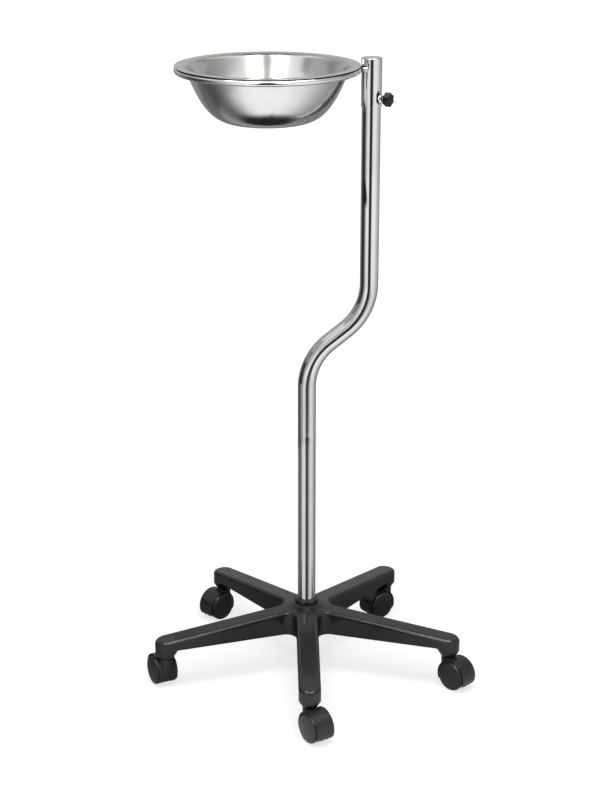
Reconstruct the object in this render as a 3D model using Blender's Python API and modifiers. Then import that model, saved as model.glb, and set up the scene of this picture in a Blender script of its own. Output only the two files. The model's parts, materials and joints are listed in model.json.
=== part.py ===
"""Basin stand: a five-arm caster base, an S-bent tube column and a clamped ring that carries a loose basin.

Metres, +Z up. The origin lies on the floor under the middle of the stand's bounding box, and the
photographed front looks along -Y. Every size is a named value below, and each piece takes its place from
those values.
"""
import math

import bmesh
import bpy
from mathutils import Matrix, Vector

# Clearances
FIT_GAP = 0.0003          # between pieces that touch, screw into or seat on each other
WHEEL_HOOD_GAP = 0.0008   # between a wheel's tread and the hood over it
RIM_SLEEVE_GAP = 0.0005   # between the basin's rim and the sleeve

# Caster wheels and axles
WHEEL_RADIUS = 0.025
WHEEL_WIDTH = 0.012
WHEEL_CROWN = 0.0022      # how far the outer face bulges beyond the tread's shoulder
WHEEL_CHAMFER = 0.0010
CROWN_BREAK_RADIUS = 0.62 # share of the wheel radius at which the outer face bends
CROWN_BREAK_DROP = 0.25   # share of the crown fallen there
WHEEL_FACE_WALL = 0.0030  # plastic left between the axle's end and the outer face
AXLE_RADIUS = 0.003

# Caster bodies
WEB_WIDTH = 0.0174        # solid middle between the two wheels
HOOD_WALL = 0.0022
HOOD_WIDTH = 0.038
HOOD_LIFT = 0.0105        # floor to the hood's lower edge
BARREL_RADIUS = 0.012
BARREL_SINK = 0.0010      # barrel's top below the hood's
BARREL_LENGTH = 0.0267
BARREL_FLOOR = 0.0070     # barrel left below the stem
BARREL_ROUND = 0.0060     # rounding of the barrel's lower end
BARREL_CHAMFER = 0.0010
CASTER_TRAIL = 0.018      # swivel axis to axle

# Caster stems and grip rings
STEM_RADIUS = 0.005
STEM_CHAMFER = 0.0008
SHOULDER_RADIUS = 0.009
SHOULDER_HEIGHT = 0.0012
GRIP_RING_WALL = 0.0010
GRIP_RING_LENGTH = 0.012
GRIP_RING_DROP = 0.003    # stem top to the grip ring's upper end

# Five-arm base
ARM_COUNT = 5
STAR_RADIUS = 0.250       # hub axis to caster stem
STAR_TURN = math.radians(-89.0)
ARM_WIDTH = 0.036
ARM_HUB_DEPTH = 0.0451    # depth of an arm carried on to the hub axis
ARM_TIP_DEPTH = 0.015     # depth of an arm at its end
ARM_EDGE = 0.0045         # rounding of the upper edges
ARM_WALL = 0.004
POCKET_ROOF = 0.0065      # plastic above a pocket
RIB_WIDTH = 0.003
POCKET_START = 0.058      # hub axis to the inner end of the pocket under an arm
POCKETS_PER_ARM = 2
CORNER_FILLET = 0.018     # plan fillet between neighbouring arms
BOSS_HEIGHT = 0.017       # boss foot to the arm's underside
BOSS_FOOT_RADIUS = 0.0125
BOSS_SPREAD = 0.62        # how fast the boss widens upwards from its foot
SOCKET_ROOF = 0.0072      # plastic above a stem's socket
HUB_RISE = 0.0034         # hub's top above the arms carried on to its axis
HUB_WALL = 0.0062         # round the column's socket at the hub's top
FLARE_WIDTH = 0.0165
HUB_FLOOR = 0.008
RECESS_DEPTH_MARGIN = 0.002   # bolt head to the hub's underside
RECESS_GAP = 0.0025       # washer to the recess round it

# Column tube
COLUMN_RADIUS = 0.015
COLUMN_WALL = 0.0015
BEND_RADIUS = 0.100
BEND_STRAIGHT = 0.03527   # straight length between the two bends
BEND_ANGLE = math.radians(50.5)
BEND_MIDDLE = 0.593       # height of the S-bend's middle

# Column foot
COLLAR_WALL = 0.0052
COLLAR_HEIGHT = 0.0077
COLLAR_CHAMFER = 0.0020
PLUG_ROOF = 0.0075        # plug left above its hole
BOLT_RADIUS = 0.004
BOLT_LENGTH = 0.030
BOLT_HEAD_FLATS = 0.013
BOLT_HEAD_HEIGHT = 0.0053
BOLT_TIP_SPACE = 0.003    # free depth of the plug's hole beyond the bolt
WASHER_RADIUS = 0.010
WASHER_THICKNESS = 0.0016

# Sleeve, cap and ring
SLEEVE_WALL = 0.0009
SLEEVE_LENGTH = 0.0727
HEAD_TOP = 1.043
CAP_THICKNESS = 0.003
CAP_ROUND = 0.0016
ROD_RADIUS = 0.005
RING_COPE = 0.0006        # depth to which the rod is coped round the sleeve
RING_DROP = 0.018         # cap's top to the ring's middle

# Basin
RIM_RADIUS = 0.145
RIM_WIDTH = 0.016
BASIN_DEPTH = 0.089
BASIN_FOOT_RADIUS = 0.040
BASIN_WALL = 0.0008
BASIN_CURVE = 3.0         # power of the bowl's side curve

# Clamp
CLAMP_RISE = 0.013        # sleeve's lower end to the stud
CLAMP_TURN = math.radians(-32.0)
STUD_RADIUS = 0.003
PAD_THICKNESS = 0.0015     # loose pad between the stud and the column
NUT_FLATS = 0.010
NUT_HEIGHT = 0.005
KNOB_GAP = 0.003          # nut to knob when clamped
KNOB_RADIUS = 0.0102
KNOB_LOBES = 6
KNOB_LOBE_HEIGHT = 0.0010
KNOB_LENGTH = 0.011
KNOB_EDGE = 0.0016
KNOB_FACE = 0.003         # plastic left beyond the stud's hole

# Facets
WHEEL_SEGMENTS = 20
HOOD_SEGMENTS = 32
BARREL_SEGMENTS = 20
PIN_SEGMENTS = 12
TUBE_SEGMENTS = 20
TURNED_SEGMENTS = 24
RING_SEGMENTS = 40
ROD_SEGMENTS = 12
BASIN_SEGMENTS = 40
BASIN_STEPS = 9
BEND_STEPS = 6
FILLET_STEPS = 4
TIP_STEPS = 12
EDGE_STEPS = 3
ROUND_STEPS = 3
FLARE_STEPS = 4
KNOB_POINTS_PER_LOBE = 6
KNOB_EDGE_STEPS = 2
HEX_SIDES = 6
SHARP_ANGLE = math.radians(35)   # shading breaks at edges steeper than this
RIM_ANGLE = math.radians(60)     # the base's upper edges are steeper than this
MERGE = 0.00001
CUT_OVERRUN = 0.010       # how far a cutter passes the faces it opens

# Caster headings in plan, from swivel axis to axle, one for each arm from the front one round to the right
CASTER_HEADINGS = [math.radians(angle) for angle in (-56.0, -44.0, 217.0, 225.0, 117.0)]

# Worked-out places
AXLE_HEIGHT = WHEEL_RADIUS * math.cos(math.pi / WHEEL_SEGMENTS)
HOOD_INNER = WHEEL_RADIUS + WHEEL_HOOD_GAP
HOOD_RADIUS = HOOD_INNER + HOOD_WALL
WHEEL_INSIDE = WEB_WIDTH / 2 + FIT_GAP
AXLE_LENGTH = 2 * (WHEEL_INSIDE + WHEEL_WIDTH - WHEEL_FACE_WALL - FIT_GAP)
BARREL_TOP = AXLE_HEIGHT + HOOD_RADIUS - BARREL_SINK
BARREL_BOTTOM = BARREL_TOP - BARREL_LENGTH
STEM_BOTTOM = BARREL_BOTTOM + BARREL_FLOOR
SHOULDER_BOTTOM = BARREL_TOP + FIT_GAP
BOSS_BOTTOM = SHOULDER_BOTTOM + SHOULDER_HEIGHT + FIT_GAP
SOCKET_RADIUS = STEM_RADIUS + GRIP_RING_WALL + 2 * FIT_GAP
ARM_BOTTOM = BOSS_BOTTOM + BOSS_HEIGHT
ARM_TOP_CENTRE = ARM_BOTTOM + ARM_HUB_DEPTH
ARM_SLOPE = (ARM_HUB_DEPTH - ARM_TIP_DEPTH) / (STAR_RADIUS + ARM_WIDTH / 2)
ARM_STEP = 2 * math.pi / ARM_COUNT
SOCKET_TOP = ARM_TOP_CENTRE - ARM_SLOPE * STAR_RADIUS - SOCKET_ROOF
STEM_TOP = SOCKET_TOP - FIT_GAP
HUB_TOP = ARM_TOP_CENTRE + HUB_RISE
HUB_RECESS_DEPTH = WASHER_THICKNESS + BOLT_HEAD_HEIGHT + RECESS_DEPTH_MARGIN + 2 * FIT_GAP
HUB_RECESS_RADIUS = WASHER_RADIUS + RECESS_GAP
HUB_FLOOR_BOTTOM = ARM_BOTTOM + HUB_RECESS_DEPTH
COLUMN_SOCKET = COLUMN_RADIUS + FIT_GAP
HUB_TOP_RADIUS = COLUMN_SOCKET + HUB_WALL
FLARE_RADIUS = HUB_TOP_RADIUS + FLARE_WIDTH
COLLAR_RADIUS = COLUMN_SOCKET + COLLAR_WALL
COLUMN_OFFSET = 2 * BEND_RADIUS * (1 - math.cos(BEND_ANGLE)) + BEND_STRAIGHT * math.sin(BEND_ANGLE)
COLUMN_BOTTOM = HUB_FLOOR_BOTTOM + HUB_FLOOR + FIT_GAP
CAP_BOTTOM = HEAD_TOP - CAP_THICKNESS
COLUMN_TOP = CAP_BOTTOM - FIT_GAP
SLEEVE_RADIUS = COLUMN_SOCKET + SLEEVE_WALL
SLEEVE_TOP = CAP_BOTTOM - FIT_GAP
SLEEVE_BOTTOM = SLEEVE_TOP - SLEEVE_LENGTH
CLAMP_HEIGHT = SLEEVE_BOTTOM + CLAMP_RISE
RING_HEIGHT = HEAD_TOP - RING_DROP
MOUTH_RADIUS = RIM_RADIUS - RIM_WIDTH
WASHER_TOP = HUB_FLOOR_BOTTOM - FIT_GAP
BOLT_SEAT = WASHER_TOP - WASHER_THICKNESS - FIT_GAP
RING_REACH = RIM_RADIUS + RIM_SLEEVE_GAP + SLEEVE_RADIUS
RING_RADIUS = RING_REACH - SLEEVE_RADIUS + RING_COPE - ROD_RADIUS
RIM_UNDERSIDE = RING_HEIGHT + ROD_RADIUS + FIT_GAP
NUT_OUTER = SLEEVE_RADIUS + NUT_HEIGHT
KNOB_START = NUT_OUTER + KNOB_GAP
KNOB_HOLE_DEPTH = KNOB_LENGTH - KNOB_FACE
PAD_END = COLUMN_SOCKET + PAD_THICKNESS
STUD_START = PAD_END + FIT_GAP
STUD_END = KNOB_START + KNOB_HOLE_DEPTH - FIT_GAP


def clear_scene():
    for old in list(bpy.data.objects):
        bpy.data.objects.remove(old, do_unlink=True)


def new_collection(name):
    collection = bpy.data.collections.new(name)
    bpy.context.scene.collection.children.link(collection)
    return collection


clear_scene()
PARTS = new_collection("basin_stand")
CUTTERS = new_collection("basin_stand_cutters")


def new_material(name, colour, roughness, metallic):
    material = bpy.data.materials.new(name)
    material.use_nodes = True
    shader = material.node_tree.nodes["Principled BSDF"]
    shader.inputs["Base Color"].default_value = (*colour, 1.0)
    shader.inputs["Roughness"].default_value = roughness
    shader.inputs["Metallic"].default_value = metallic
    return material


POLISHED_STEEL = new_material("polished_steel", (0.72, 0.72, 0.71), 0.08, 1.0)
PLAIN_STEEL = new_material("plain_steel", (0.55, 0.55, 0.56), 0.35, 1.0)
BASE_NYLON = new_material("base_nylon", (0.045, 0.046, 0.048), 0.45, 0.0)
CASTER_NYLON = new_material("caster_nylon", (0.030, 0.031, 0.033), 0.35, 0.0)
KNOB_PLASTIC = new_material("knob_plastic", (0.020, 0.020, 0.021), 0.40, 0.0)


# Object helpers

def new_empty(name, parent, matrix):
    empty = bpy.data.objects.new(name, None)
    PARTS.objects.link(empty)
    empty.parent = parent
    empty.matrix_basis = matrix
    return empty


def new_part(name, data, material, parent, matrix=None):
    part = bpy.data.objects.new(name, data)
    PARTS.objects.link(part)
    part.parent = parent
    part.matrix_basis = matrix or Matrix.Identity(4)
    if not data.materials:
        data.materials.append(material)
    return part


def new_cutter(name, data, parent=None, matrix=None):
    cutter = bpy.data.objects.new(name, data)
    CUTTERS.objects.link(cutter)
    cutter.parent = parent
    cutter.matrix_basis = matrix or Matrix.Identity(4)
    cutter.hide_render = True
    cutter.display_type = "WIRE"
    return cutter


def add_screw(part, segments):
    screw = part.modifiers.new("turn", "SCREW")
    screw.steps = segments
    screw.render_steps = segments
    screw.use_merge_vertices = True
    screw.merge_threshold = MERGE
    screw.use_smooth_shade = True


def add_boolean(part, other, operation):
    boolean = part.modifiers.new(other.name, "BOOLEAN")
    boolean.operation = operation
    boolean.solver = "EXACT"
    boolean.object = other


def evaluated_mesh(part):
    bpy.context.view_layer.update()
    depsgraph = bpy.context.evaluated_depsgraph_get()
    return bpy.data.meshes.new_from_object(part.evaluated_get(depsgraph))


# Mesh helpers

def mesh_from_bmesh(name, shape):
    bmesh.ops.recalc_face_normals(shape, faces=shape.faces)
    mesh = bpy.data.meshes.new(name)
    shape.to_mesh(mesh)
    shape.free()
    mesh.shade_smooth()
    mesh.set_sharp_from_angle(angle=SHARP_ANGLE)
    return mesh


def profile_mesh(name, points, closed=False):
    """Edge chain in the XZ plane, for turning about Z; it runs down the outer side."""
    shape = bmesh.new()
    verts = [shape.verts.new((radius, 0.0, height)) for radius, height in points]
    for first, second in zip(verts, verts[1:]):
        shape.edges.new((first, second))
    if closed:
        shape.edges.new((verts[-1], verts[0]))
    mesh = bpy.data.meshes.new(name)
    shape.to_mesh(mesh)
    shape.free()
    return mesh


def add_cylinder(shape, radius, start, end, segments, matrix=None, end_radius=None):
    """Closed cylinder or cone along Z from start to end, then moved by the matrix."""
    place = (matrix or Matrix.Identity(4)) @ Matrix.Translation((0, 0, (start + end) / 2))
    bmesh.ops.create_cone(shape, cap_ends=True, segments=segments, radius1=radius,
                          radius2=radius if end_radius is None else end_radius,
                          depth=end - start, matrix=place)


def add_box(shape, low, high):
    low, high = Vector(low), Vector(high)
    place = Matrix.Translation((low + high) / 2) @ Matrix.Diagonal((*(high - low), 1.0))
    return bmesh.ops.create_cube(shape, size=1.0, matrix=place)["verts"]


def cylinder_mesh(name, radius, start, end, segments, matrix=None):
    shape = bmesh.new()
    add_cylinder(shape, radius, start, end, segments, matrix)
    return mesh_from_bmesh(name, shape)


def arc(centre, radius, start, end, steps):
    """Points of a plane arc, both ends included."""
    angles = [start + (end - start) * step / steps for step in range(steps + 1)]
    return [(centre[0] + radius * math.cos(a), centre[1] + radius * math.sin(a)) for a in angles]


def turned_part(name, points, segments, material, parent, matrix=None, closed=False):
    part = new_part(name, profile_mesh(name, points, closed), material, parent, matrix)
    add_screw(part, segments)
    return part


def tube_profile(outer, inner, bottom, top):
    return [(outer, top), (outer, bottom), (inner, bottom), (inner, top)]


def hex_corner(flats):
    """Corner radius of a hexagon of this width across flats."""
    return flats / 2 / math.cos(math.pi / HEX_SIDES)


ALONG_X = Matrix.Rotation(math.radians(90), 4, "Y")    # a shape built along Z is laid along +X
ALONG_Y = Matrix.Rotation(math.radians(-90), 4, "X")   # a shape built along Z is laid along +Y
HALF_WHEEL_FACET = Matrix.Rotation(math.pi / WHEEL_SEGMENTS, 4, "Z")
HALF_TURNED_FACET = Matrix.Rotation(math.pi / TURNED_SEGMENTS, 4, "Z")

STAND = new_empty("stand_frame", None, Matrix.Identity(4))


# Five-arm base

def arm_matrix(index):
    return Matrix.Rotation(STAR_TURN + index * ARM_STEP, 4, "Z")


def arm_sector():
    """Plan outline of one arm with its share of the hub, along +X, counter-clockwise from the hub axis."""
    half_step = ARM_STEP / 2
    half_width = ARM_WIDTH / 2
    reach = (half_width + CORNER_FILLET) / math.sin(half_step)
    right = (reach * math.cos(half_step), -reach * math.sin(half_step))
    fillet = arc(right, CORNER_FILLET, math.pi - half_step, math.pi / 2, FILLET_STEPS)
    tip = arc((STAR_RADIUS, 0.0), half_width, -math.pi / 2, math.pi / 2, TIP_STEPS)
    mirrored = [(x, -y) for x, y in reversed(fillet)]
    return [(0.0, 0.0)] + fillet + tip + mirrored


def star_mesh():
    shape = bmesh.new()
    for index in range(ARM_COUNT):
        turn = arm_matrix(index)
        verts = [shape.verts.new(turn @ Vector((x, y, BOSS_BOTTOM))) for x, y in arm_sector()]
        shape.faces.new(verts)
    bmesh.ops.remove_doubles(shape, verts=shape.verts, dist=MERGE)
    raised = bmesh.ops.extrude_face_region(shape, geom=shape.faces[:])
    top = [item for item in raised["geom"] if isinstance(item, bmesh.types.BMVert)]
    directions = [arm_matrix(index) @ Vector((1, 0, 0)) for index in range(ARM_COUNT)]
    for vert in top:
        along = max(direction.x * vert.co.x + direction.y * vert.co.y for direction in directions)
        vert.co.z = ARM_TOP_CENTRE - ARM_SLOPE * along
    bmesh.ops.recalc_face_normals(shape, faces=shape.faces)
    top = set(top)
    rim = [edge for edge in shape.edges
           if edge.verts[0] in top and edge.verts[1] in top
           and edge.calc_face_angle(0.0) > RIM_ANGLE]
    bmesh.ops.bevel(shape, geom=rim, offset=ARM_EDGE, offset_type="OFFSET", segments=EDGE_STEPS,
                    profile=0.5, affect="EDGES", material=-1)
    return mesh_from_bmesh("base_spider", shape)


def flare_profile():
    """Hub top with a hollow curve down to the arms; its foot is buried in them."""
    foot = ARM_TOP_CENTRE - ARM_SLOPE * FLARE_RADIUS
    curve = []
    for step in range(FLARE_STEPS + 1):
        angle = math.pi / 2 * step / FLARE_STEPS
        curve.append((FLARE_RADIUS - (FLARE_RADIUS - HUB_TOP_RADIUS) * math.cos(angle),
                      HUB_TOP - (HUB_TOP - foot) * math.sin(angle)))
    buried = (ARM_BOTTOM + foot) / 2
    return [(0.0, HUB_TOP)] + curve + [(FLARE_RADIUS, buried), (0.0, buried)]


def hub_bore_profile():
    """Column socket above the hub floor, bolt hole through it and recess for the bolt head below."""
    hole = BOLT_RADIUS + FIT_GAP
    floor_top = HUB_FLOOR_BOTTOM + HUB_FLOOR
    top = HUB_TOP + CUT_OVERRUN
    bottom = ARM_BOTTOM - CUT_OVERRUN
    return [(0.0, top), (COLUMN_SOCKET, top), (COLUMN_SOCKET, floor_top), (hole, floor_top),
            (hole, HUB_FLOOR_BOTTOM), (HUB_RECESS_RADIUS, HUB_FLOOR_BOTTOM), (HUB_RECESS_RADIUS, bottom),
            (0.0, bottom)]


def boss_radius(height):
    return BOSS_FOOT_RADIUS + BOSS_SPREAD * (height - BOSS_BOTTOM)


def boss_mesh():
    """Cones that widen upwards round the caster stems; no underside is cut away inside them."""
    shape = bmesh.new()
    bottom = BOSS_BOTTOM - CUT_OVERRUN
    top = ARM_BOTTOM + CUT_OVERRUN
    for index in range(ARM_COUNT):
        place = arm_matrix(index) @ Matrix.Translation((STAR_RADIUS, 0, 0)) @ HALF_TURNED_FACET
        add_cylinder(shape, boss_radius(bottom), bottom, top, TURNED_SEGMENTS, place, boss_radius(top))
    return mesh_from_bmesh("base_bosses", shape)


def make_underside():
    """Everything below the arms' undersides, apart from the caster bosses."""
    bottom = BOSS_BOTTOM - CUT_OVERRUN / 2
    below = cylinder_mesh("base_underside", STAR_RADIUS + ARM_WIDTH, bottom, ARM_BOTTOM, TURNED_SEGMENTS)
    underside = new_cutter("base_underside", below, STAND)
    add_boolean(underside, new_cutter("base_bosses", boss_mesh(), STAND), "DIFFERENCE")
    return underside


def socket_mesh():
    shape = bmesh.new()
    for index in range(ARM_COUNT):
        place = arm_matrix(index) @ Matrix.Translation((STAR_RADIUS, 0, 0))
        add_cylinder(shape, SOCKET_RADIUS, BOSS_BOTTOM - CUT_OVERRUN, SOCKET_TOP, PIN_SEGMENTS, place)
    return mesh_from_bmesh("base_sockets", shape)


def pocket_mesh():
    """Hollows under the arms, parted by ribs and closed before the caster bosses."""
    shape = bmesh.new()
    end = STAR_RADIUS - boss_radius(ARM_BOTTOM)
    length = (end - POCKET_START - (POCKETS_PER_ARM - 1) * RIB_WIDTH) / POCKETS_PER_ARM
    half_width = ARM_WIDTH / 2 - ARM_WALL
    bottom = ARM_BOTTOM - CUT_OVERRUN
    roof = ARM_TOP_CENTRE - POCKET_ROOF
    for index in range(ARM_COUNT):
        for pocket in range(POCKETS_PER_ARM):
            start = POCKET_START + pocket * (length + RIB_WIDTH)
            box = add_box(shape, (start, -half_width, bottom), (start + length, half_width, roof))
            for vert in box:
                if vert.co.z > ARM_BOTTOM:
                    vert.co.z = roof - ARM_SLOPE * vert.co.x
            bmesh.ops.transform(shape, verts=box, matrix=arm_matrix(index))
    return mesh_from_bmesh("base_pockets", shape)


def make_base():
    base = new_part("base_spider", star_mesh(), BASE_NYLON, STAND)
    flare = new_cutter("base_flare", profile_mesh("base_flare", flare_profile()), STAND)
    bore = new_cutter("base_hub_bore", profile_mesh("base_hub_bore", hub_bore_profile()), STAND)
    add_screw(flare, TURNED_SEGMENTS)
    add_screw(bore, TURNED_SEGMENTS)
    add_boolean(base, flare, "UNION")
    add_boolean(base, make_underside(), "DIFFERENCE")
    add_boolean(base, bore, "DIFFERENCE")
    add_boolean(base, new_cutter("base_sockets", socket_mesh(), STAND), "DIFFERENCE")
    add_boolean(base, new_cutter("base_pockets", pocket_mesh(), STAND), "DIFFERENCE")


# Column and its foot

def column_path():
    """Centre line of the tube in the XZ plane: plumb, bent out, straight, bent back, plumb."""
    half_rise = BEND_RADIUS * math.sin(BEND_ANGLE) + BEND_STRAIGHT * math.cos(BEND_ANGLE) / 2
    low_centre = (BEND_RADIUS, BEND_MIDDLE - half_rise)
    high_centre = (COLUMN_OFFSET - BEND_RADIUS, BEND_MIDDLE + half_rise)
    low = arc(low_centre, BEND_RADIUS, math.pi, math.pi - BEND_ANGLE, BEND_STEPS)
    high = arc(high_centre, BEND_RADIUS, -BEND_ANGLE, 0.0, BEND_STEPS)
    return [(0.0, COLUMN_BOTTOM)] + low + high + [(COLUMN_OFFSET, COLUMN_TOP)]


def make_column():
    curve = bpy.data.curves.new("column_tube", "CURVE")
    curve.dimensions = "3D"
    curve.bevel_depth = COLUMN_RADIUS
    curve.bevel_resolution = (TUBE_SEGMENTS - 4) // 2
    curve.use_fill_caps = False
    points = column_path()
    spline = curve.splines.new("POLY")
    spline.points.add(len(points) - 1)
    for point, (x, z) in zip(spline.points, points):
        point.co = (x, 0.0, z, 1.0)
    spline.use_smooth = True
    column = new_part("column_tube", curve, POLISHED_STEEL, STAND)
    wall = column.modifiers.new("wall", "SOLIDIFY")
    wall.thickness = COLUMN_WALL
    wall.offset = -1.0
    wall.use_even_offset = True


def plug_profile():
    radius = COLUMN_RADIUS - COLUMN_WALL - FIT_GAP
    hole = BOLT_RADIUS + FIT_GAP
    hole_top = BOLT_SEAT + BOLT_LENGTH + BOLT_TIP_SPACE
    top = hole_top + PLUG_ROOF
    return [(0.0, top), (radius, top), (radius, COLUMN_BOTTOM), (hole, COLUMN_BOTTOM), (hole, hole_top),
            (0.0, hole_top)]


def collar_profile():
    bottom = HUB_TOP + FIT_GAP
    top = bottom + COLLAR_HEIGHT
    return [(COLLAR_RADIUS - COLLAR_CHAMFER, top), (COLLAR_RADIUS, top - COLLAR_CHAMFER),
            (COLLAR_RADIUS, bottom), (COLUMN_SOCKET, bottom), (COLUMN_SOCKET, top)]


def make_column_foot():
    turned_part("hub_collar", collar_profile(), TURNED_SEGMENTS, BASE_NYLON, STAND, closed=True)
    turned_part("column_foot_plug", plug_profile(), TUBE_SEGMENTS, PLAIN_STEEL, STAND)
    washer = tube_profile(WASHER_RADIUS, BOLT_RADIUS + FIT_GAP, WASHER_TOP - WASHER_THICKNESS, WASHER_TOP)
    turned_part("base_washer", washer, TURNED_SEGMENTS, PLAIN_STEEL, STAND, closed=True)
    head = bmesh.new()
    add_cylinder(head, hex_corner(BOLT_HEAD_FLATS), BOLT_SEAT - BOLT_HEAD_HEIGHT, BOLT_SEAT, HEX_SIDES)
    bolt = new_part("base_bolt", mesh_from_bmesh("base_bolt", head), PLAIN_STEEL, STAND)
    shank = cylinder_mesh("base_bolt_shank", BOLT_RADIUS, BOLT_SEAT - BOLT_HEAD_HEIGHT / 2,
                          BOLT_SEAT + BOLT_LENGTH, PIN_SEGMENTS)
    add_boolean(bolt, new_cutter("base_bolt_shank", shank, STAND), "UNION")


# Casters, modelled with the swivel axis on Z and the axle out along +X

def barrel_profile():
    flat = BARREL_RADIUS - BARREL_ROUND
    lower = arc((flat, BARREL_BOTTOM + BARREL_ROUND), BARREL_ROUND, 0.0, -math.pi / 2, ROUND_STEPS)
    return [(0.0, BARREL_TOP), (BARREL_RADIUS - BARREL_CHAMFER, BARREL_TOP),
            (BARREL_RADIUS, BARREL_TOP - BARREL_CHAMFER)] + lower + [(0.0, BARREL_BOTTOM)]


def caster_body_mesh():
    axle = Matrix.Translation((CASTER_TRAIL, 0, AXLE_HEIGHT)) @ ALONG_Y
    inside = WEB_WIDTH / 2
    outside = WHEEL_INSIDE + WHEEL_WIDTH + CUT_OVERRUN
    drum = cylinder_mesh("caster_hood", HOOD_RADIUS, -HOOD_WIDTH / 2, HOOD_WIDTH / 2, HOOD_SEGMENTS, axle)
    hood = new_cutter("caster_hood", drum)
    barrel = new_cutter("caster_barrel", profile_mesh("caster_barrel", barrel_profile()))
    add_screw(barrel, BARREL_SEGMENTS)
    floor_cut = bmesh.new()
    span = CASTER_TRAIL + HOOD_RADIUS + CUT_OVERRUN
    add_box(floor_cut, (-span, -span, -span), (span, span, HOOD_LIFT))
    cutters = [
        cylinder_mesh("caster_wheel_space_left", HOOD_INNER, inside, outside, HOOD_SEGMENTS, axle),
        cylinder_mesh("caster_wheel_space_right", HOOD_INNER, -outside, -inside, HOOD_SEGMENTS, axle),
        mesh_from_bmesh("caster_floor_cut", floor_cut),
        cylinder_mesh("caster_stem_bore", STEM_RADIUS + FIT_GAP, STEM_BOTTOM - FIT_GAP,
                      BARREL_TOP + CUT_OVERRUN, PIN_SEGMENTS),
        cylinder_mesh("caster_axle_bore", AXLE_RADIUS + FIT_GAP, -outside, outside, PIN_SEGMENTS, axle),
    ]
    add_boolean(hood, barrel, "UNION")
    cutters = [new_cutter(mesh.name, mesh) for mesh in cutters]
    for cutter in cutters:
        add_boolean(hood, cutter, "DIFFERENCE")
    mesh = evaluated_mesh(hood)
    mesh.name = "caster_body"
    for used in [hood, barrel] + cutters:
        bpy.data.objects.remove(used, do_unlink=True)
    return mesh


def wheel_profile():
    """Half section of a wheel from its outer face to its inner face at Z = 0, with a blind axle hole."""
    bore = AXLE_RADIUS + FIT_GAP
    shoulder = WHEEL_WIDTH - WHEEL_CROWN
    return [(0.0, WHEEL_WIDTH),
            (WHEEL_RADIUS * CROWN_BREAK_RADIUS, WHEEL_WIDTH - WHEEL_CROWN * CROWN_BREAK_DROP),
            (WHEEL_RADIUS - WHEEL_CHAMFER, shoulder), (WHEEL_RADIUS, shoulder - WHEEL_CHAMFER),
            (WHEEL_RADIUS, WHEEL_CHAMFER), (WHEEL_RADIUS - WHEEL_CHAMFER, 0.0), (bore, 0.0),
            (bore, WHEEL_WIDTH - WHEEL_FACE_WALL), (0.0, WHEEL_WIDTH - WHEEL_FACE_WALL)]


def stem_profile():
    shoulder_top = SHOULDER_BOTTOM + SHOULDER_HEIGHT
    return [(0.0, STEM_TOP), (STEM_RADIUS - STEM_CHAMFER, STEM_TOP), (STEM_RADIUS, STEM_TOP - STEM_CHAMFER),
            (STEM_RADIUS, shoulder_top), (SHOULDER_RADIUS, shoulder_top),
            (SHOULDER_RADIUS, SHOULDER_BOTTOM), (STEM_RADIUS, SHOULDER_BOTTOM), (STEM_RADIUS, STEM_BOTTOM),
            (0.0, STEM_BOTTOM)]


def make_casters():
    body_mesh = caster_body_mesh()
    axle_mesh = cylinder_mesh("caster_axle", AXLE_RADIUS, -AXLE_LENGTH / 2, AXLE_LENGTH / 2, PIN_SEGMENTS)
    wheel_mesh = profile_mesh("caster_wheel", wheel_profile())
    stem_mesh = profile_mesh("caster_stem", stem_profile())
    ring_top = STEM_TOP - GRIP_RING_DROP
    ring_inner = STEM_RADIUS + FIT_GAP
    ring = tube_profile(ring_inner + GRIP_RING_WALL, ring_inner, ring_top - GRIP_RING_LENGTH, ring_top)
    ring_mesh = profile_mesh("caster_grip_ring", ring, closed=True)
    for index, heading in enumerate(CASTER_HEADINGS):
        name = f"caster_{index + 1}"
        arm_end = arm_matrix(index) @ Vector((STAR_RADIUS, 0, 0))
        socket = new_empty(name + "_socket", STAND, Matrix.Translation(arm_end) @ arm_matrix(index))
        for piece, mesh in (("stem", stem_mesh), ("grip_ring", ring_mesh)):
            add_screw(new_part(f"{name}_{piece}", mesh, PLAIN_STEEL, socket), PIN_SEGMENTS)
        swivel = new_empty(name + "_swivel", STAND,
                           Matrix.Translation(arm_end) @ Matrix.Rotation(heading, 4, "Z"))
        new_part(name + "_body", body_mesh, CASTER_NYLON, swivel)
        axle = new_empty(name + "_axle_line", swivel, Matrix.Translation((CASTER_TRAIL, 0, AXLE_HEIGHT)))
        new_part(name + "_axle", axle_mesh, PLAIN_STEEL, axle, ALONG_Y)
        for side, turn in (("left", ALONG_Y), ("right", ALONG_Y.inverted())):
            place = turn @ Matrix.Translation((0, 0, WHEEL_INSIDE)) @ HALF_WHEEL_FACET
            wheel = new_part(f"{name}_wheel_{side}", wheel_mesh, CASTER_NYLON, axle, place)
            add_screw(wheel, WHEEL_SEGMENTS)


# Sleeve, ring, clamp and basin

def cap_profile():
    centre = (SLEEVE_RADIUS - CAP_ROUND, HEAD_TOP - CAP_ROUND)
    rounded = arc(centre, CAP_ROUND, math.pi / 2, 0.0, ROUND_STEPS)
    return [(0.0, HEAD_TOP)] + rounded + [(SLEEVE_RADIUS, CAP_BOTTOM), (0.0, CAP_BOTTOM)]


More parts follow.
